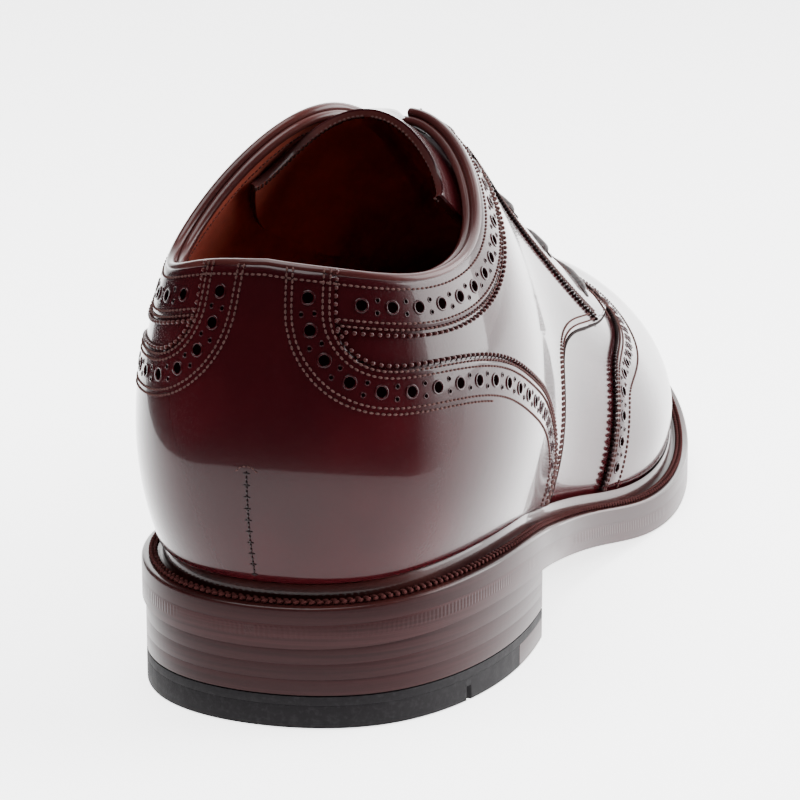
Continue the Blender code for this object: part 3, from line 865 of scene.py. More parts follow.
def waxed_lace():
    """A dark braid: two waves that cross round the cord."""
    paint = Paint("dark_waxed_lace", Specular_IOR_Level=0.45)
    distance, turn = paint.along_edge()
    along = distance * 2600
    round_it = turn * (4 * math.pi)
    weave = (along + round_it).sine() * (along - round_it).sine()
    return paint.feed(
        Base_Color=paint.mix(weave.step(-1, 1), (0.005, 0.002, 0.002), (0.020, 0.007, 0.007)),
        Roughness=paint.noise(800) * 0.2 + 0.4,
        Normal=paint.bump(weave, 0.00012, 0.7),
    )


def hole_shade_paint():
    """Near-black and without shine: painted shade that stands for the depth of a hole."""
    paint = Paint("punched_depth", Specular_IOR_Level=0.0)
    return paint.feed(
        Base_Color=paint.mix(paint.noise(900), (0.0006, 0.0002, 0.0002), (0.0020, 0.0005, 0.0006)),
        Roughness=paint.noise(700) * 0.2 + 0.7,
    )


def linked(name, data):
    """A new object in the scene."""
    obj = bpy.data.objects.new(name, data)
    bpy.context.scene.collection.objects.link(obj)
    return obj


def aimed(obj, place, aim):
    """The lamp or camera at its place, turned to its aim."""
    obj.location = place
    obj.rotation_euler = (Vector(aim) - Vector(place)).to_track_quat("-Z", "Y").to_euler()


def make_real(obj, modifier):
    """The object's mesh as its modifier shapes it."""
    evaluated = obj.evaluated_get(bpy.context.evaluated_depsgraph_get())
    made = bpy.data.meshes.new_from_object(evaluated)
    obj.modifiers.remove(modifier)
    obj.data = made


def add_mesh(name, points, faces, materials, slots=None, sharp=0.7):
    """A mesh piece, moved from the shoemaker's frame to the model's."""
    mesh = bpy.data.meshes.new(name)
    mesh.from_pydata((np.asarray(points) - MIDDLE).tolist(), [], faces)
    for item in materials:
        mesh.materials.append(item)
    if slots is not None:
        mesh.polygons.foreach_set("material_index", np.asarray(slots, np.int32))
    mesh.shade_smooth()
    mesh.set_sharp_from_angle(angle=sharp)
    return linked(name, mesh)


def keep(obj, slot, *nodes):
    """The finished piece rides on the shoe and stands for its nodes. Its slot is not used."""
    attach(obj, "root")
    if nodes:
        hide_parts(*nodes)
    return obj


def grid_faces(rows, columns):
    """The quads of a grid of points."""
    index = np.arange(rows * columns).reshape(rows, columns)
    corners = (index[:-1, :-1], index[:-1, 1:], index[1:, 1:], index[1:, :-1])
    return np.stack([corner.ravel() for corner in corners], 1)


def joined(place, normal, faces):
    """Points that meet made one, with mean normals, and faces that point along them."""
    keys = np.round(place * 1e6).astype(np.int64)
    _, first, index = np.unique(keys, axis=0, return_index=True, return_inverse=True)
    index = index.ravel()
    summed = np.zeros((len(first), 3))
    np.add.at(summed, index, normal)
    points = place[first]
    normals = unit(summed)
    kept = []
    for face in index[faces]:
        face = list(dict.fromkeys(face.tolist()))
        if len(face) < 3:
            continue
        a, b, c = points[face[0]], points[face[1]], points[face[2]]
        if np.cross(b - a, c - a) @ normals[face].sum(0) < 0:
            face.reverse()
        kept.append(face)
    return points, normals, kept


def leather(name, grid, low, high, face, back, edge, drop=EDGE_DROP, swell=0.0):
    """A closed sheet over a grid of (s, v): its face high above the form, its back at low."""
    flat = grid.reshape(-1, 2)
    normal = form_normals(flat)
    place = form_points(flat) + normal * np.ravel(swell)[:, None]
    points, normals, faces = joined(place, normal, grid_faces(*grid.shape[:2]))
    edges = {(side[k - 1], side[k]) for side in faces for k in range(len(side))}
    border = sorted((a, b) for a, b in edges if (b, a) not in edges)
    level = np.full(len(points), high)
    level[list({corner for pair in border for corner in pair})] = high - drop
    count = len(points)
    under = [[corner + count for corner in reversed(side)] for side in faces]
    rim = [[a + count, b + count, b, a] for a, b in border]
    solid = np.concatenate([points + normals * level[:, None], points + normals * low])
    slots = [0] * len(faces) + [1] * len(under) + [2] * len(rim)
    return add_mesh(name, solid, faces + under + rim, [face, back, edge], slots)


def length_of(line):
    """Length on the form of a line of (s, v)."""
    return float(distances_along(form_points(line))[-1])


def toothed(line, inward):
    """A line with two points for each tooth and its pinked copy.

    inward is 1 where the leather lies to the line's left, and -1 where it lies to its right.
    """
    line = even(line, 2 * max(2, round(length_of(line) / PINK_PITCH)) + 1)
    return line, pinked(line, inward)


def pinked(line, inward):
    """The line with every second point moved into the leather."""
    depth = np.where(np.arange(len(line)) % 2 == 0, 0.0, PINK_DEPTH)
    return line + side_ways(line) * (inward * depth)[:, None]


def banded(edge, pinked, inner, rows):
    """A grid from a pinked edge over a straight band to the line inner."""
    grid = between(edge, inner, rows)
    share = np.linspace(0, 1, rows)[1]
    first = edge + (inner - edge) * min(share, 0.5)
    return np.concatenate([pinked[None], first[None], grid[2:]])


def overlay(name, grid, low, high, node):
    """A piece of the overlays, with dark cut edges."""
    piece = leather(name, grid, low, high, OVERLAY, CUT_EDGE, CUT_EDGE)
    return keep(piece, "burgundy_overlay", node)


def marks_on(line, height, pitch):
    """Evenly spaced places along a line of (s, v): points, normals and directions."""
    return marks_at(even(line, max(2, round(length_of(line) / pitch) + 1)), height)


def marks_at(line, height):
    """Places at the points of a line of (s, v): points, normals and directions."""
    points = form_points(line)
    normals = form_normals(line)
    return [points + normals * height, normals, unit(np.gradient(points, axis=0))]


def scatter(name, marks, tree, sizes, material, slot="burgundy_overlay"):
    """Realised copies of a small form at the marks; sizes are the tree's named inputs."""
    points = np.concatenate([mark[0] for mark in marks]) - MIDDLE
    mesh = bpy.data.meshes.new(name)
    mesh.from_pydata(points.tolist(), [], [])
    for label, column in (("facing", 1), ("along", 2)):
        attribute = mesh.attributes.new(label, "FLOAT_VECTOR", "POINT")
        values = np.concatenate([mark[column] for mark in marks]).astype(np.float32)
        attribute.data.foreach_set("vector", values.ravel())
    obj = linked(name, mesh)
    modifier = obj.modifiers.new("copies", "NODES")
    modifier.node_group = tree
    values = {**sizes, "Material": material}
    for item in tree.interface.items_tree:
        if item.item_type == "SOCKET" and item.in_out == "INPUT" and item.name in values:
            modifier[item.identifier] = values[item.name]
    make_real(obj, modifier)
    return keep(obj, slot)


class Growth(Nodes):
    """A Geometry Nodes tree under construction."""

    def __init__(self, name, *sizes):
        super().__init__(bpy.data.node_groups.new(name, "GeometryNodeTree"))
        face = self.tree.interface
        face.new_socket("Geometry", in_out="INPUT", socket_type="NodeSocketGeometry")
        for label in sizes:
            face.new_socket(label, in_out="INPUT", socket_type="NodeSocketFloat")
        face.new_socket("Material", in_out="INPUT", socket_type="NodeSocketMaterial")
        face.new_socket("Geometry", in_out="OUTPUT", socket_type="NodeSocketGeometry")
        self.given = self.node("NodeGroupInput").outputs
        self.result = self.node("NodeGroupOutput").inputs

    def grow(self, kind, values, **settings):
        """The first output of a new node."""
        return self.node(kind, settings, values).outputs[0]

    def vector(self, label):
        """A named direction of the points."""
        return self.grow("GeometryNodeInputNamedAttribute", {"Name": label}, data_type="FLOAT_VECTOR")

    def place_copies(self, form):
        """The form at every point, turned to its facing and along, made real, with its material."""
        ways = {0: self.vector("facing"), 1: self.vector("along")}
        turn = self.grow("FunctionNodeAxesToRotation", ways, primary_axis="Z", secondary_axis="X")
        places = {"Points": self.given["Geometry"], "Instance": form, "Rotation": turn}
        copies = self.grow("GeometryNodeInstanceOnPoints", places)
        real = self.grow("GeometryNodeRealizeInstances", {"Geometry": copies})
        painted = {"Geometry": real, "Material": self.given["Material"]}
        self.put(self.grow("GeometryNodeSetMaterial", painted), self.result["Geometry"])
        return self.tree


def stitch_tree():
    """A short rounded thread, longer along the seam than across it."""
    growth = Growth("stitch_copies", "Length", "Width")
    ball = growth.grow("GeometryNodeMeshUVSphere", {"Segments": 6, "Rings": 4, "Radius": 0.5})
    width = growth.given["Width"]
    size = growth.grow("ShaderNodeCombineXYZ", {"X": growth.given["Length"], "Y": width, "Z": width})
    form = growth.grow("GeometryNodeTransform", {"Geometry": ball, "Scale": size})
    return growth.place_copies(growth.grow("GeometryNodeSetShadeSmooth", {"Geometry": form}))


def disc_tree():
    """A flat disc; in its near-black material it is the painted shade in a punched hole or eyelet."""
    growth = Growth("hole_copies", "Radius")
    sizes = {"Vertices": 14, "Radius": growth.given["Radius"]}
    return growth.place_copies(growth.grow("GeometryNodeMeshCircle", sizes, fill_type="NGON"))


def rim_tree():
    """The rounded lip of a punched hole."""
    growth = Growth("lip_copies", "Radius", "Lip")
    circle = "GeometryNodeCurvePrimitiveCircle"
    path = growth.grow(circle, {"Resolution": 14, "Radius": growth.given["Radius"]})
    section = growth.grow(circle, {"Resolution": 6, "Radius": growth.given["Lip"]})
    ring = growth.grow("GeometryNodeCurveToMesh", {"Curve": path, "Profile Curve": section})
    return growth.place_copies(growth.grow("GeometryNodeSetShadeSmooth", {"Geometry": ring}))


BURGUNDY = polished_leather("burgundy_calf", (0.019, 0.0019, 0.0029), (0.031, 0.0030, 0.0043))
OVERLAY = polished_leather("burgundy_calf_overlay", (0.018, 0.0018, 0.0028), (0.029, 0.0028, 0.0041))
BEAD = polished_leather("rolled_edge_calf", (0.036, 0.0085, 0.0080), (0.062, 0.0160, 0.0140), 0.26)
WELT = polished_leather("storm_welt_leather", (0.016, 0.0035, 0.0035), (0.034, 0.0080, 0.0070), 0.28, 0.00009)
CUT_EDGE = polished_leather("cut_leather_edge", (0.006, 0.0012, 0.0014), (0.012, 0.0022, 0.0026), 0.50)
# Near-black material for painted shade: the shadow line along the quarter's front edge and the shaded pinking
# teeth
EDGE_SHADE = thread("inked_cut_edge", (0.0090, 0.0030, 0.0032))
LINING = lining_leather()
STACK = stacked_leather("stacked_heel_leather", (0.013, 0.0038, 0.0041), (0.022, 0.0068, 0.0072), False)
SOLE_EDGE = stacked_leather("burnished_sole_edge", (0.015, 0.0045, 0.0048), (0.030, 0.0100, 0.0105), True)
RUBBER = rubber()
# Pale tonal thread: its light tone is partly the thread's own colour and partly a painted highlight
THREAD = thread("tonal_thread", (0.090, 0.046, 0.042))
WELT_THREAD = thread("welt_thread", (0.062, 0.017, 0.016))
LACE = waxed_lace()
HOLE_SHADE = hole_shade_paint()
STITCHES = stitch_tree()
DISCS = disc_tree()
LIPS = rim_tree()


def sewn(
    name,
    rows,
    height,
    pitch=STITCH_PITCH,
    width=STITCH_WIDTH,
    share=STITCH_SHARE,
    material=THREAD,
    slot="burgundy_overlay",
):
    """Rows of stitches, lying half in the leather."""
    marks = [marks_on(line, height + 0.1 * width, pitch) for line in rows]
    sizes = {"Length": pitch * share, "Width": width}
    return scatter(name, marks, STITCHES, sizes, material, slot)


def punched(name, rows, height):
    """A brogue row: big holes with pairs of small ones between them."""
    big = []
    small = []
    for line in rows:
        count = 2 * max(1, round(length_of(line) / HOLE_PITCH)) + 1
        line = even(line, count + 2)[1:-1]
        ways = side_ways(line)
        middle = marks_at(line, height)
        big.append([part[::2] for part in middle])
        for shift in (-SMALL_SPREAD, SMALL_SPREAD):
            beside_it = marks_at(line + ways * shift, height)
            small.append([part[1::2] for part in beside_it])
    kinds = (("big", big, BIG_HOLE, BIG_LIP), ("small", small, SMALL_HOLE, SMALL_LIP))
    for label, marks, radius, lip in kinds:
        # The holes are near-black discs laid just over the leather: painted shade in place of the holes'
        # depth
        raised = [(points + normals * HOLE_LIFT, normals, along) for points, normals, along in marks]
        scatter(f"{name}_{label}_holes", raised, DISCS, {"Radius": radius}, HOLE_SHADE)
        sizes = {"Radius": radius + 0.6 * lip, "Lip": lip}
        scatter(f"{name}_{label}_lips", marks, LIPS, sizes, OVERLAY)


def gimped(name, lines, outward, height=OVERLAY_TOP, material=BEAD):
    """The rounded crowns of the teeth along a pinked edge. Their material is lighter or darker than the
    overlay's: painted highlight on lit teeth, painted shade on shaded ones.
    """
    rows = [beside(line, way * TOOTH_OUT) for line, way in zip(lines, outward)]
    level = height - TOOTH_SINK
    sewn(name, rows, level, PINK_PITCH, TOOTH_WIDTH, TOOTH_SHARE, material)


def shade_line(name, line, height):
    """A thin near-black tube along an edge: a painted shadow line where the edge lies on the leather under
    it.
    """
    line = even(line, 120)
    path = form_points(line) + form_normals(line) * height
    tube(name, path, SHADE_LINE_RADIUS, EDGE_SHADE, "burgundy_overlay", sides=8)


def make_upper():
    """Vamp and lining: the hollow wall from the welt to the topline and throat."""
    ends = (0, TOPLINE_OUTER[-1][0], THROAT[-1][0], 1)
    stretches = [np.linspace(*ends[k : k + 2], count) for k, count in enumerate((110, 70, 120))]
    half = np.unique(np.concatenate(stretches))
    s = np.concatenate([-half[::-1], half[1:]])
    edge = np.array([upper_edge(place) for place in s])
    rows = np.linspace(0, 1, 52)[:, None] ** FOOT_CROWDING
    grid = np.stack([np.broadcast_to(s, (len(rows), len(s))), rows * edge], -1)
    piece = leather("upper_shell", grid, -WALL, 0.0, BURGUNDY, LINING, LINING, 0.0)
    keep(piece, "burgundy_leather", "upper")


def counter_edge(side):
    """The counter's front edge, from its neck to the welt."""
    edge = lifted(table_line(COUNTER, side, count=60))
    edge[-1, 1] += COUNTER_TOE
    return edge


def make_counter():
    """The heel foxing, pinked at its front edges, with its neck up to the topline."""
    neck = COUNTER[0][0]
    across = np.linspace(-neck, neck, 22)[1:-1]
    v = [spline(abs(s), TOPLINE_OUTER if s >= 0 else TOPLINE_INNER) for s in across]
    plain = []
    pinked = []
    feet = []
    for side in (1, -1):
        edge, teeth = toothed(counter_edge(side), -side)
        plain.append(edge)
        pinked.append(teeth)
        share = np.linspace(0, 1, len(edge)) ** NECK_SPREAD
        feet.append(side * (NECK_FAN * neck + (COUNTER[-1][0] - NECK_FAN * neck) * share))
    top = np.stack([across, v], -1)
    edge = np.concatenate([plain[1][::-1], top, plain[0]])
    teeth = np.concatenate([pinked[1][::-1], top, pinked[0]])
    s = np.concatenate([feet[1][::-1], NECK_FAN * across, feet[0]])
    foot = np.stack([s, foot_v(s)], -1)
    grid = banded(edge, teeth, foot, 70)
    overlay("counter_overlay", grid, OVERLAY_LOW, OVERLAY_TOP, "counter")
    rows = []
    holes = []
    for side in (1, -1):
        line = even(counter_edge(side), 120)
        for distance in EDGE_STITCHES:
            rows.append(beside(line, -side * distance))
        for distance in INNER_STITCHES:
            row = beside(line, -side * distance)
            rows.append(row if distance == INNER_STITCHES[0] else row[:LAST_INNER_STITCH])
        holes.append(beside(line, -side * HOLE_ROW)[2:])
    sewn("counter_stitches", rows, OVERLAY_TOP)
    # The counter's teeth take the lighter rolled-edge leather: painted highlight where they catch the light
    gimped("counter_teeth_painted_highlight", [counter_edge(side) for side in (1, -1)], (1, -1))
    punched("counter", holes, OVERLAY_TOP)


def make_back_seam():
    """The short closed seam up the middle of the counter, with a bar of thread across each stitch."""
    v = np.linspace(SEAM_FOOT, SEAM_HEAD, 40)
    line = np.stack([np.full_like(v, SEAM_PLACE), v], -1)
    points, normals, along = marks_on(line, OVERLAY_TOP, SEAM_PITCH)
    marks = [(points + normals * 0.2 * SEAM_BAR_WIDTH, normals, np.cross(normals, along))]
    sizes = {"Length": SEAM_BAR, "Width": SEAM_BAR_WIDTH}
    scatter("back_seam_ticks", marks, STITCHES, sizes, CUT_EDGE)
    sewn("back_seam", [line], OVERLAY_TOP, *SEAM_THREAD, CUT_EDGE)
    turn = np.linspace(-0.9, 0.9, 12)
    wide, high = SEAM_CAP
    cap = np.stack([SEAM_PLACE + wide * np.sin(turn), SEAM_HEAD - wide + high * np.cos(turn)], -1)
    sewn("back_seam_cap", [cap], OVERLAY_TOP, *SEAM_CAP_THREAD)


def make_collars():
    """The bands below the topline, pinked at their lower edge."""
    for side, word in SIDES:
        line = collar_top(side)
        lower, teeth = toothed(beside(line, -side * COLLAR_WIDTH), side)
        line = even(line, len(lower))
        grid = banded(lower, teeth, line, 16)
        overlay(f"collar_band_{word}", grid, OVERLAY_LOW, COLLAR_TOP, f"collar_{word}")
        rows = [beside(line, -side * TOPLINE_STITCHES)]
        rows += [beside(lower, side * distance) for distance in EDGE_STITCHES]
        rows = [row[np.abs(row[:, 0]) > COUNTER[0][0]] for row in rows]
        sewn(f"collar_stitches_{word}", rows, COLLAR_TOP)
        punched(f"collar_{word}", [beside(lower, side * COLLAR_HOLE_ROW)[4:]], COLLAR_TOP)
        # The collar's teeth take the lighter rolled-edge leather: painted highlight where they catch the
        # light
        gimped(f"collar_teeth_painted_highlight_{word}", [lower[3:]], (-side,))


def collar_top(side):
    """The topline from just under the counter's neck to the facing stay."""
    line = topline(side)
    distance = distances_along(form_points(line))
    kept = (np.abs(line[:, 0]) > COUNTER[0][0] - COLLAR_UNDER) & (distance < distance[-1] - COLLAR_STOP)
    return even(line[kept], 90)


def make_eyestays():
    """The facing stays, pinked at the back, sewn at the front, with a bar tack at the foot."""
    for side, word in SIDES:
        back, teeth = toothed(stay_line(side), side)
        line = even(facing_line(side, 80), len(back))
        grid = banded(back, teeth, line, 22)
        overlay(f"facing_stay_{word}", grid, OVERLAY_LOW, OVERLAY_TOP, f"eyestay_{word}")
        rows = [beside(line, -side * FACING_STITCHES)]
        rows += [beside(back, side * distance) for distance in EDGE_STITCHES]
        sewn(f"facing_stitches_{word}", rows, OVERLAY_TOP)
        # The facing's teeth take the near-black material: painted shade
        gimped(f"facing_teeth_painted_shade_{word}", [back], (-side,), OVERLAY_TOP, EDGE_SHADE)
        bar = np.linspace(line[-9], beside(line, -side * TACK_LENGTH)[-10], 8)
        bars = [bar, bar + (line[-10] - line[-9]) * 0.5]
        sewn(f"bar_tack_{word}", bars, OVERLAY_TOP, TACK_PITCH)


def make_quarters():
    """The side panels, whole from the back seam to the facing, under the pieces sewn on them."""
    for side, word in SIDES:
        top = even(np.concatenate([topline(side), facing_line(side, 60)[1:]]), 240)
        front = front_line(side, 90)
        s = np.linspace(0, front[0, 0], 80)
        foot = np.stack([s, foot_v(s)], -1)
        bottom = even(np.concatenate([foot, front[1:]]), 240)
        grid = between(bottom, top, 60)
        piece = leather(f"quarter_panel_{word}", grid, SHOW_LOW, QUARTER_TOP, BURGUNDY, LINING, CUT_EDGE)
        keep(piece, "burgundy_leather", f"quarter_{word}")
        rows = [beside(front, side * distance) for distance in QUARTER_STITCHES]
        sewn(f"quarter_stitches_{word}", rows, QUARTER_TOP, slot="burgundy_leather")
        # A dark tube along the front edge paints the shadow under the quarter's edge
        shade_line(f"quarter_edge_shade_line_{word}", front, QUARTER_TOP - SHADE_LINE_SINK)


def wing_line(side):
    """The back edge of the wing cap, from the welt to its point on the ridge."""
    v = np.linspace(0, 1, 200)
    line = lifted(np.stack([spline(v, WING, 1 if side > 0 else 2) * side, v], -1))
    return even(line, 90)


def make_wing_cap():
    """The toe cap, round the toe from its outer edge to its inner edge, both pinked."""
    edges = [wing_line(side) for side in (1, -1)]
    outer, outer_teeth = toothed(edges[0], -1)
    inner = even(edges[1], len(outer))
    wrapped, wrapped_teeth = (line + (2, 0) for line in (inner, pinked(inner, 1)))
    grid = between(outer, wrapped, 150)
    first = outer - side_ways(outer) * PINK_INSET
    last = wrapped + side_ways(inner) * PINK_INSET
    grid = np.concatenate([outer_teeth[None], first[None], grid[3:-3], last[None], wrapped_teeth[None]])
    overlay("wing_cap_overlay", grid, SHOW_LOW, CAP_TOP, "wing_cap")
    rows = []
    holes = []
    for side, line in zip((1, -1), edges):
        rows += [beside(line, -side * distance) for distance in (*EDGE_STITCHES, INNER_STITCHES[1])]
        holes.append(beside(line, -side * HOLE_ROW)[2:-2])
    sewn("wing_cap_stitches", rows, CAP_TOP)
    # The wing cap's teeth take the near-black material: painted shade
    gimped("wing_cap_teeth_painted_shade", [line[:-1] for line in edges], (1, -1), CAP_TOP, EDGE_SHADE)
    punched("wing_cap", holes, CAP_TOP)


def eased(share):
    """0 below 0, 1 above 1, smooth between."""
    share = np.clip(share, 0, 1)
    return share * share * (3 - 2 * share)


def make_tongue():
    """A broad leaf behind the facings with a domed top edge."""
    t = np.linspace(0, 1, 90)[:, None] ** TONGUE_CROWDING
    turn = np.linspace(np.pi / 2, 0, 46)[None, :]
    share = 1 - np.sin(turn)
    top = TONGUE_SHOULDER + TONGUE_ARCH * np.cos(turn)
    s = top + (TONGUE[-1][0] - top) * t
    side = spline(s[:, 0], TONGUE)[:, None]
    half = np.stack([s, side + (1 - side) * share], -1).transpose(1, 0, 2)
    grid = np.concatenate([half, half[-2::-1] * (-1, 1)])
    high = -WALL - TONGUE_GAP
    low = high - TONGUE_THICKNESS
    u = np.abs(grid[..., 0])
    free = np.minimum(spline(np.clip(u, THROAT[0][0], THROAT[-1][0]), THROAT), 0.99)
    swell = TONGUE_SWELL * eased((grid[..., 1] - free) / (1 - free) * SWELL_STEEPNESS)
    swell *= eased((u - SWELL_ENDS[0]) / SWELL_FADE) * eased((SWELL_ENDS[1] - u) / SWELL_FADE)
    piece = leather("tongue_leaf", grid, low, high, BURGUNDY, LINING, BEAD, swell=swell)
    keep(piece, "burgundy_leather", "tongue")
    rows = [half[:-2, column] * (way, 1) for column in (2, 4) for way in (1, -1)]
    sewn("tongue_stitches", rows, low, *TONGUE_STITCH, slot="burgundy_leather")


def ring_faces(rings, count):
    """The quads between closed rings that have count points each."""
    faces = []
    for k in range(rings - 1):
        for i in range(count):
            j = (i + 1) % count
            faces.append([(k + 1) * count + i, (k + 1) * count + j, k * count + j, k * count + i])
    return faces


def tube(name, path, radius, material, slot, nodes=(), sides=12, flat=1.0):
    """A round cord or roll along a path, closed at both ends, with its own edge map."""
    path = np.asarray(path, float)
    along = unit(np.gradient(path, axis=0))
    across = unit(np.cross(along, (0.0, 0.0, 1.0)))
    over = np.cross(across, along)
    turn = np.linspace(0, 2 * np.pi, sides, endpoint=False)
    ring = np.cos(turn)[None, :, None] * across[:, None] + flat * np.sin(turn)[None, :, None] * over[:, None]
    points = (path[:, None] + radius * ring).reshape(-1, 3)
    ends = [list(range(sides)), list(range(len(points) - 1, len(points) - 1 - sides, -1))]
    obj = add_mesh(name, points, ring_faces(len(path), sides) + ends, [material])
    map_edge(obj, np.repeat(distances_along(path), sides), np.tile(turn / (2 * np.pi), len(path)))
    return keep(obj, slot, *nodes)


def map_edge(obj, u, v):
    """A UV map from two numbers for each point of the mesh."""
    layer = obj.data.uv_layers.new(name="edge")
    corners = np.empty(len(obj.data.loops), np.int32)
    obj.data.loops.foreach_get("vertex_index", corners)
    layer.data.foreach_set("uv", np.stack([u[corners], v[corners]], 1).astype(np.float32).ravel())


def make_bead():
    """The rolled edge on the topline and its stitched binding inside."""
    line = even(np.concatenate([topline(-1)[:0:-1], topline(1)]), 240)
    over = beside(line, ROLL_OVER)
    path = form_points(over) + form_normals(over) * ROLL_HEIGHT
    tube("rolled_topline", path, ROLL_RADIUS, BEAD, "burgundy_overlay", ["topline_bead"])
    sewn("lining_stitches", [beside(line, -LINING_STITCHES)], -WALL, slot="rust_lining")
    over = beside(line, BINDING_OVER)
    path = form_points(over) - form_normals(over) * BINDING_DEPTH
    tube("topline_binding", path, BINDING_RADIUS, BEAD, "burgundy_overlay")
    neck = line[np.abs(line[:, 0]) < COUNTER[0][0]]
    sewn("neck_top_stitches", [beside(neck, -TOPLINE_STITCHES)], OVERLAY_TOP)


def lace_run(ends, lips):
    """One bar: out of an eyelet, over the facing, straight across, and into the other eyelet."""
    parts = []
    for end, lip in zip(ends, lips):
        share = np.linspace(-LACE_HIDDEN, 1, 16)[:, None]
        line = end + (lip - end) * share
        hidden = np.clip(1 - (share[:, 0] + LACE_HIDDEN) / 0.5, 0, 1)
        height = LACE_LEVEL - hidden**2 * (LACE_LEVEL + LACE_DIVE)
        parts.append(form_points(line) + form_normals(line) * height[:, None])
    a, b = parts[0][-1], parts[1][-1]
    ridge = np.array([[(abs(lips[0][0]) + abs(lips[1][0])) / 2, 0.999]])
    up = form_normals(ridge)[0]
    top = form_points(ridge)[0] + up * LACE_OVER_TONGUE
    lift = max(0.0, float((top - (a + b) / 2) @ up))
    across = np.linspace(0, 1, 22)[1:-1, None]
    bar = a + (b - a) * across + up * lift * 4 * across * (1 - across)
    return np.concatenate([parts[0], bar, parts[1][::-1]])


def make_laces():
    """The bars of lace and the eyelets that they run into."""
    edges = [facing_line(side, 60) for side in (1, -1)]
    rows = [beside(edge, -side * EYELET_SETBACK) for edge, side in zip(edges, (1, -1))]
    eyelets = []
    for k in range(LACE_BARS):
        place = FIRST_EYELET + (LAST_EYELET - FIRST_EYELET) * k / (LACE_BARS - 1)
        index = int(place * 59)
        ends = [row[index] for row in rows]
        path = lace_run(ends, [edge[index] for edge in edges])
        nodes = [f"lace_bar_{k + 1}"]
        tube(f"lace_run_{k + 1}", path, LACE_RADIUS, LACE, "dark_lace", nodes, 14, LACE_FLATNESS)
        eyelets += ends
    eyelets = np.array(eyelets)
    normals = form_normals(eyelets)
    along = unit(np.cross(normals, (0.0, 0.0, 1.0)))
    marks = [(form_points(eyelets) + normals * (OVERLAY_TOP + SHOW_LOW), normals, along)]
    # The eyelets are near-black discs laid on the facing: painted shade in place of their depth
    scatter("eyelet_hole_shades", marks, DISCS, {"Radius": EYELET}, HOLE_SHADE)
    sizes = {"Radius": EYELET + EYELET_ROOM, "Lip": EYELET_LIP}
    scatter("eyelet_lips", marks, LIPS, sizes, CUT_EDGE)


def even_plan(line, count):
    """A flat line with count points, evenly spaced."""
    return at_share(line, np.linspace(0, 1, count))


def plan(front=None, set_in=0.0, back=0.0, count=150):
    """An outline with as many points on both sides, cut straight at back and front."""
    outer, inner = halves(inset(SOLE_LOOP, set_in))
    if front is None:
        outer, inner = even_plan(outer, count), even_plan(inner, count)
        return np.concatenate([outer, inner[-2:0:-1]])
    sides = []
    for side in (outer, inner):
        ends = [(np.interp(y, side[:, 1], side[:, 0]), y) for y in (max(back, side[0, 1]), front)]
        middle = side[(side[:, 1] > ends[0][1]) & (side[:, 1] < front)]
        sides.append(even_plan(np.concatenate([[ends[0]], middle, [ends[1]]]), count))
    if back > outer[0, 1]:
        return np.concatenate([sides[0], sides[1][::-1]])
    return np.concatenate([sides[0], sides[1][:0:-1]])


def rounded(low, high, radius):
    """The rings of a plate's edge, from its lower face up: how far in, and the height over y."""
    rings = []
    for t in np.linspace(0, np.pi / 2, 4):
        near, far = radius * (1 - math.cos(t)), radius * (1 - math.sin(t))
        rings.append((far, lambda y, rise=near: low(y) + rise))
    for t in np.linspace(0, np.pi / 2, 4):
        near, far = radius * (1 - math.cos(t)), radius * (1 - math.sin(t))
        rings.append((near, lambda y, drop=far: high(y) - drop))
    return rings


def slab(name, outline, rings, material, slot, *nodes):
    """A plate whose edge follows the rings round the outline, closed by strips across it."""
    count = len(outline)
    around = distances_along(outline)
    points = []
    u = []
    v = []
    for distance, height in rings:
        flat = inset(outline, distance)
        z = height(flat[:, 1])
        points.append(np.c_[flat, z])
        u.append(around)
        v.append(z - rings[-1][1](flat[:, 1]))
    faces = ring_faces(len(rings), count)
    top = (len(rings) - 1) * count
    for i in range(count // 2):
        strip = list(dict.fromkeys([i, i + 1, (count - i - 1) % count, (count - i) % count]))
        if len(strip) > 2:
            faces.append(strip[::-1])
            faces.append([top + corner for corner in strip])
    obj = add_mesh(name, np.concatenate(points), faces, [material], sharp=0.9)
    turn_outwards(obj)
    map_edge(obj, np.concatenate(u), np.concatenate(v))
    return keep(obj, slot, *nodes)


def turn_outwards(obj):
    """Faces turned so that the closed mesh holds a positive volume."""
    mesh = obj.data
    mesh.calc_loop_triangles()
    points = np.array([vertex.co for vertex in mesh.vertices])
    corners = np.array([triangle.vertices for triangle in mesh.loop_triangles])
    a, b, c = (points[corners[:, k]] for k in range(3))
    if np.einsum("ij,ij->i", a, np.cross(b, c)).sum() < 0:
        mesh.flip_normals()


def constant(height):
    """A level height, in the form of the functions of y."""
    return lambda y: np.full(np.shape(y), height)


def lift_level(share, gap):
    """A height in the stack of lifts, from the rubber layer at 0 to the outsole at 1."""
    bottom = RUBBER_THICKNESS + GAP + RUBBER_LAYER
    return lambda y: bottom + gap + (underside(y) - GAP - bottom) * share


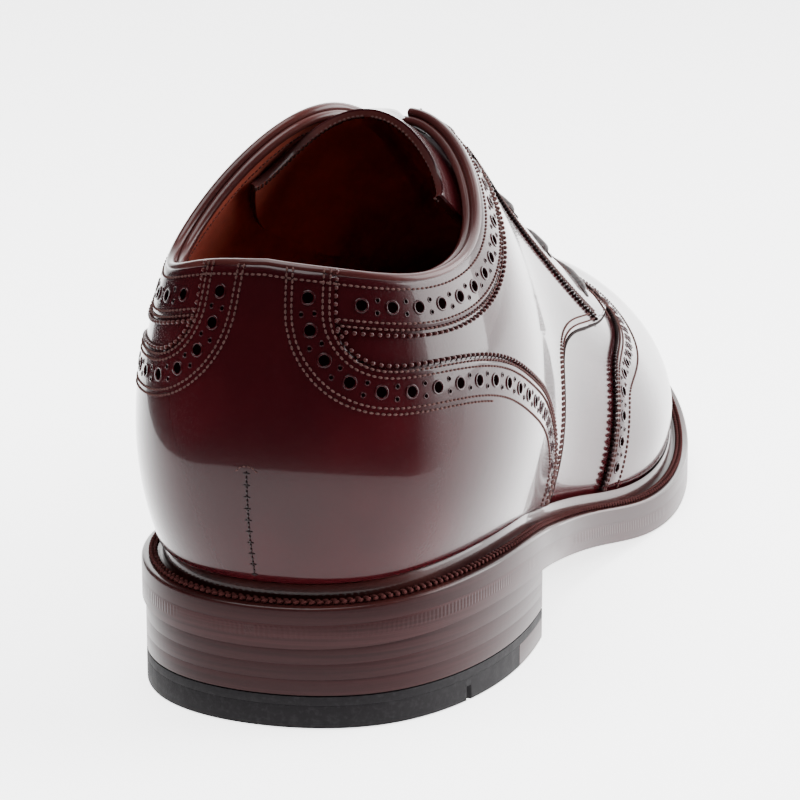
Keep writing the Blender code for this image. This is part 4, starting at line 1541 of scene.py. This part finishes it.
def make_heel():
    """Top piece with its leather corner, thin rubber layer and stack of lifts."""
    whole = plan(HEEL_BREAST, HEEL_SET_IN)
    rear = plan(RUBBER_LENGTH, HEEL_SET_IN)
    front = plan(HEEL_BREAST, HEEL_SET_IN, RUBBER_LENGTH + GAP, 40)
    low = constant(0.0)
    top = constant(RUBBER_THICKNESS)
    base = constant(RUBBER_THICKNESS + PLATE_GAP)
    layer_top = constant(RUBBER_THICKNESS + PLATE_GAP + RUBBER_LAYER)
    rubber_edge = rounded(low, top, RUBBER_ROUND)
    piece = slab("heel_top_piece", rear, rubber_edge, RUBBER, "charcoal_rubber", "heel_rubber")
    cut_slit(piece, rear)
    corner_edge = rounded(low, top, CORNER_ROUND)
    slab("heel_front_corner", front, corner_edge, STACK, "stained_edge", "heel_corner")
    layer_edge = rounded(base, layer_top, LAYER_ROUND)
    slab("heel_thin_layer", whole, layer_edge, RUBBER, "charcoal_rubber", "heel_rubber_layer")
    for k in range(LIFTS):
        edge = rounded(lift_level(k / LIFTS, LIFT_GAP), lift_level((k + 1) / LIFTS, 0), LIFT_ROUND)
        slab(f"stacked_lift_{k + 1}", whole, edge, STACK, "stained_edge", f"heel_lift_{k + 1}")


def cut_slit(piece, outline):
    """The short slot in the outer edge of the rubber."""
    side = outline[: len(outline) // 2]
    x = float(np.interp(SLIT_PLACE, side[:, 1], side[:, 0]))
    half = np.array([SLIT_DEPTH, SLIT_WIDTH / 2, 0.65 * RUBBER_THICKNESS])
    corners = np.array([(i, j, k) for i in (-1, 1) for j in (-1, 1) for k in (-1, 1)])
    faces = [[0, 1, 3, 2], [4, 6, 7, 5], [0, 4, 5, 1], [2, 3, 7, 6], [0, 2, 6, 4], [1, 5, 7, 3]]
    cutter = add_mesh("slit_cutter", corners * half + (x, SLIT_PLACE, 0.0), faces, [RUBBER])
    turn_outwards(cutter)
    modifier = piece.modifiers.new("slit", "BOOLEAN")
    modifier.object = cutter
    make_real(piece, modifier)
    bpy.data.objects.remove(cutter)


def make_outsole():
    """The leather outsole, from the heel to the toe."""
    rings = rounded(underside, outsole_top, LIFT_ROUND)
    slab("leather_outsole", plan(), rings, SOLE_EDGE, "stained_edge", "outsole")


def welt_inner_inset():
    """How far inside the outer edge the welt ends under the upper."""
    return FEATHER_INSET + WALL + 2 * PATCH_GAP


def make_welt():
    """The flat with its rounded edge, the raised rib against the upper, and the part under it."""
    loop = plan(count=260)
    feather = inset(loop, FEATHER_INSET)
    toe = int(np.argmax(feather[:, 1]))
    share = lengths_along(np.concatenate([feather, feather[:1]]))
    inner_share = -(1 - share[:-1]) / (1 - share[toe])
    s = np.where(np.arange(len(loop)) <= toe, share[:-1] / share[toe], inner_share)
    rib_line = np.stack([s, foot_v(s)], -1)
    foot_line = np.stack([s, 0 * s], -1)
    rib_face, foot_face = (
        (form_points(line) + form_normals(line) * PATCH_GAP)[:, :2] for line in (rib_line, foot_line)
    )
    shoulder = inset(loop, WELT_FLAT)
    inner = inset(loop, welt_inner_inset())
    top = WELT_THICKNESS
    groove = top - WELT_GROOVE_DEPTH
    rings = [(inner, 0.0), (loop, 0.0)]
    for t in np.linspace(0, np.pi / 2, 5):
        rings.append((inset(loop, WELT_ROUND * (1 - math.cos(t))), top - WELT_ROUND * (1 - math.sin(t))))
    rings.append((inset(loop, WELT_FLAT - WELT_GROOVE), top))
    rings.append((inset(loop, WELT_FLAT - WELT_GROOVE / 2), groove))
    for t in np.linspace(0.0, RIB_TURN, 12):
        across = (1 - math.cos(t)) / 2
        rise = (RIB_HEIGHT + WELT_GROOVE_DEPTH) * math.sin(t) ** RIB_FULLNESS
        rings.append((shoulder * (1 - across) + rib_face * across, groove + rise))
    rings.append((foot_face, top - GAP))
    rings.append((inner, top - GAP))
    points = []
    for flat, height in rings:
        points.append(np.c_[flat, outsole_top(flat[:, 1]) + PLATE_GAP + height])
    count = len(loop)
    faces = []
    slots = []
    for k in range(len(rings)):
        for i in range(count):
            j = (i + 1) % count
            n = (k + 1) % len(rings) * count
            faces.append([k * count + j, n + j, n + i, k * count + i])
            slots.append(1 if k in (1, 2) else 0)
    obj = add_mesh("storm_welt", np.concatenate(points), faces, [WELT, STACK], slots, 0.9)
    turn_outwards(obj)
    map_edge(obj, np.tile(distances_along(loop), len(rings)), np.concatenate(points)[:, 2])
    keep(obj, "burgundy_leather", "welt")
    for row, distance in enumerate(WELT_STITCHES):
        sew_welt(f"welt_stitches_{row + 1}", inset(loop, distance), row / 2)


def sew_welt(name, line, shift):
    """One of the two braided rows on the welt's flat, a half stitch apart and slanted the other way."""
    closed = np.concatenate([line, line[:1]])
    count = round(float(distances_along(closed)[-1]) / WELT_PITCH)
    line = at_share(closed, (np.arange(count) + shift) / count)
    points = np.c_[line, welt_top(line[:, 1]) + WELT_STITCH_LIFT]
    along = unit(np.roll(points, -1, 0) - np.roll(points, 1, 0))
    normals = np.tile((0.0, 0.0, 1.0), (count, 1))
    along = unit(along + np.cross(normals, along) * (0.5 - 2 * shift))
    sizes = {"Length": WELT_PITCH, "Width": WELT_STITCH_WIDTH}
    scatter(name, [(points, normals, along)], STITCHES, sizes, WELT_THREAD, "burgundy_leather")


def finish_insole():
    """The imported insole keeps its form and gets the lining's leather."""
    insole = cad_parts["insole"]
    insole.data.materials.clear()
    insole.data.materials.append(LINING)


def make_floor():
    """A pale table that glows a little: its glow is painted light that lifts the shoe's shadow on it and
    lights the shoe from below.
    """
    turn = np.radians(np.linspace(*TABLE_ARC, 28))
    near = np.stack([np.cos(turn), np.sin(turn)], -1) * TABLE_RADIUS + TABLE_MIDDLE
    corners = [*near.tolist(), *TABLE_FAR]
    mesh = bpy.data.meshes.new("floor")
    mesh.from_pydata([(x, y, -TABLE_DROP) for x, y in corners], [], [list(range(len(corners)))])
    paint = Paint(
        "pale_floor",
        Base_Color=(0.85, 0.85, 0.86, 1.0),
        Roughness=0.9,
        Specular_IOR_Level=0.0,
        # Emission: painted light that fills the shadow on the table
        Emission_Color=(1.0, 1.0, 1.0, 1.0),
        Emission_Strength=3.0,
    )
    mesh.materials.append(paint.material)
    linked("floor", mesh)


def softbox(name, place, size, power):
    """A large soft lamp that faces the shoe."""
    light = bpy.data.lights.new(name, "AREA")
    light.shape = "RECTANGLE"
    light.size, light.size_y = size
    light.energy = power
    aimed(linked(name, light), place, LIGHTS_AIM)


def light_scene():
    """A bright sweep ahead and to the right, a dark studio behind the camera."""
    world = bpy.data.worlds.new("studio")
    bpy.context.scene.world = world
    world.use_nodes = True
    sky = Nodes(world.node_tree)
    way = sky.node("ShaderNodeTexCoord").outputs["Generated"]
    ahead = sky.node("ShaderNodeVectorMath", {"operation": "DOT_PRODUCT"}, (way, BRIGHT_WAY))
    sweep = sky.node("ShaderNodeValToRGB", {"stops": STUDIO_STOPS}, (ahead.outputs["Value"],))
    back = sky.tree.nodes["Background"]
    sky.put(sweep.outputs[0], back.inputs["Color"])
    sky.put(STUDIO_LIGHT, back.inputs["Strength"])
    for lamp in LAMPS:
        softbox(*lamp)


def set_camera():
    """The camera at the photo's viewing angle, turned to the one shoe."""
    azimuth = math.radians(CAMERA_AZIMUTH)
    height = math.radians(CAMERA_HEIGHT)
    level = math.cos(height)
    back = np.array((math.sin(azimuth) * level, -math.cos(azimuth) * level, math.sin(height)))
    camera = bpy.data.cameras.new("camera")
    camera.lens = CAMERA_LENS
    camera.sensor_width = SENSOR
    camera.clip_start = CAMERA_NEAR
    obj = linked("camera", camera)
    aimed(obj, CAMERA_FROM + back * CAMERA_DISTANCE - MIDDLE, CAMERA_AIM - MIDDLE)
    bpy.context.scene.camera = obj


set_camera()
make_floor()
light_scene()
make_heel()
make_outsole()
make_welt()
finish_insole()
make_upper()
make_quarters()
make_counter()
make_back_seam()
make_collars()
make_eyestays()
make_wing_cap()
make_tongue()
make_bead()
make_laces()
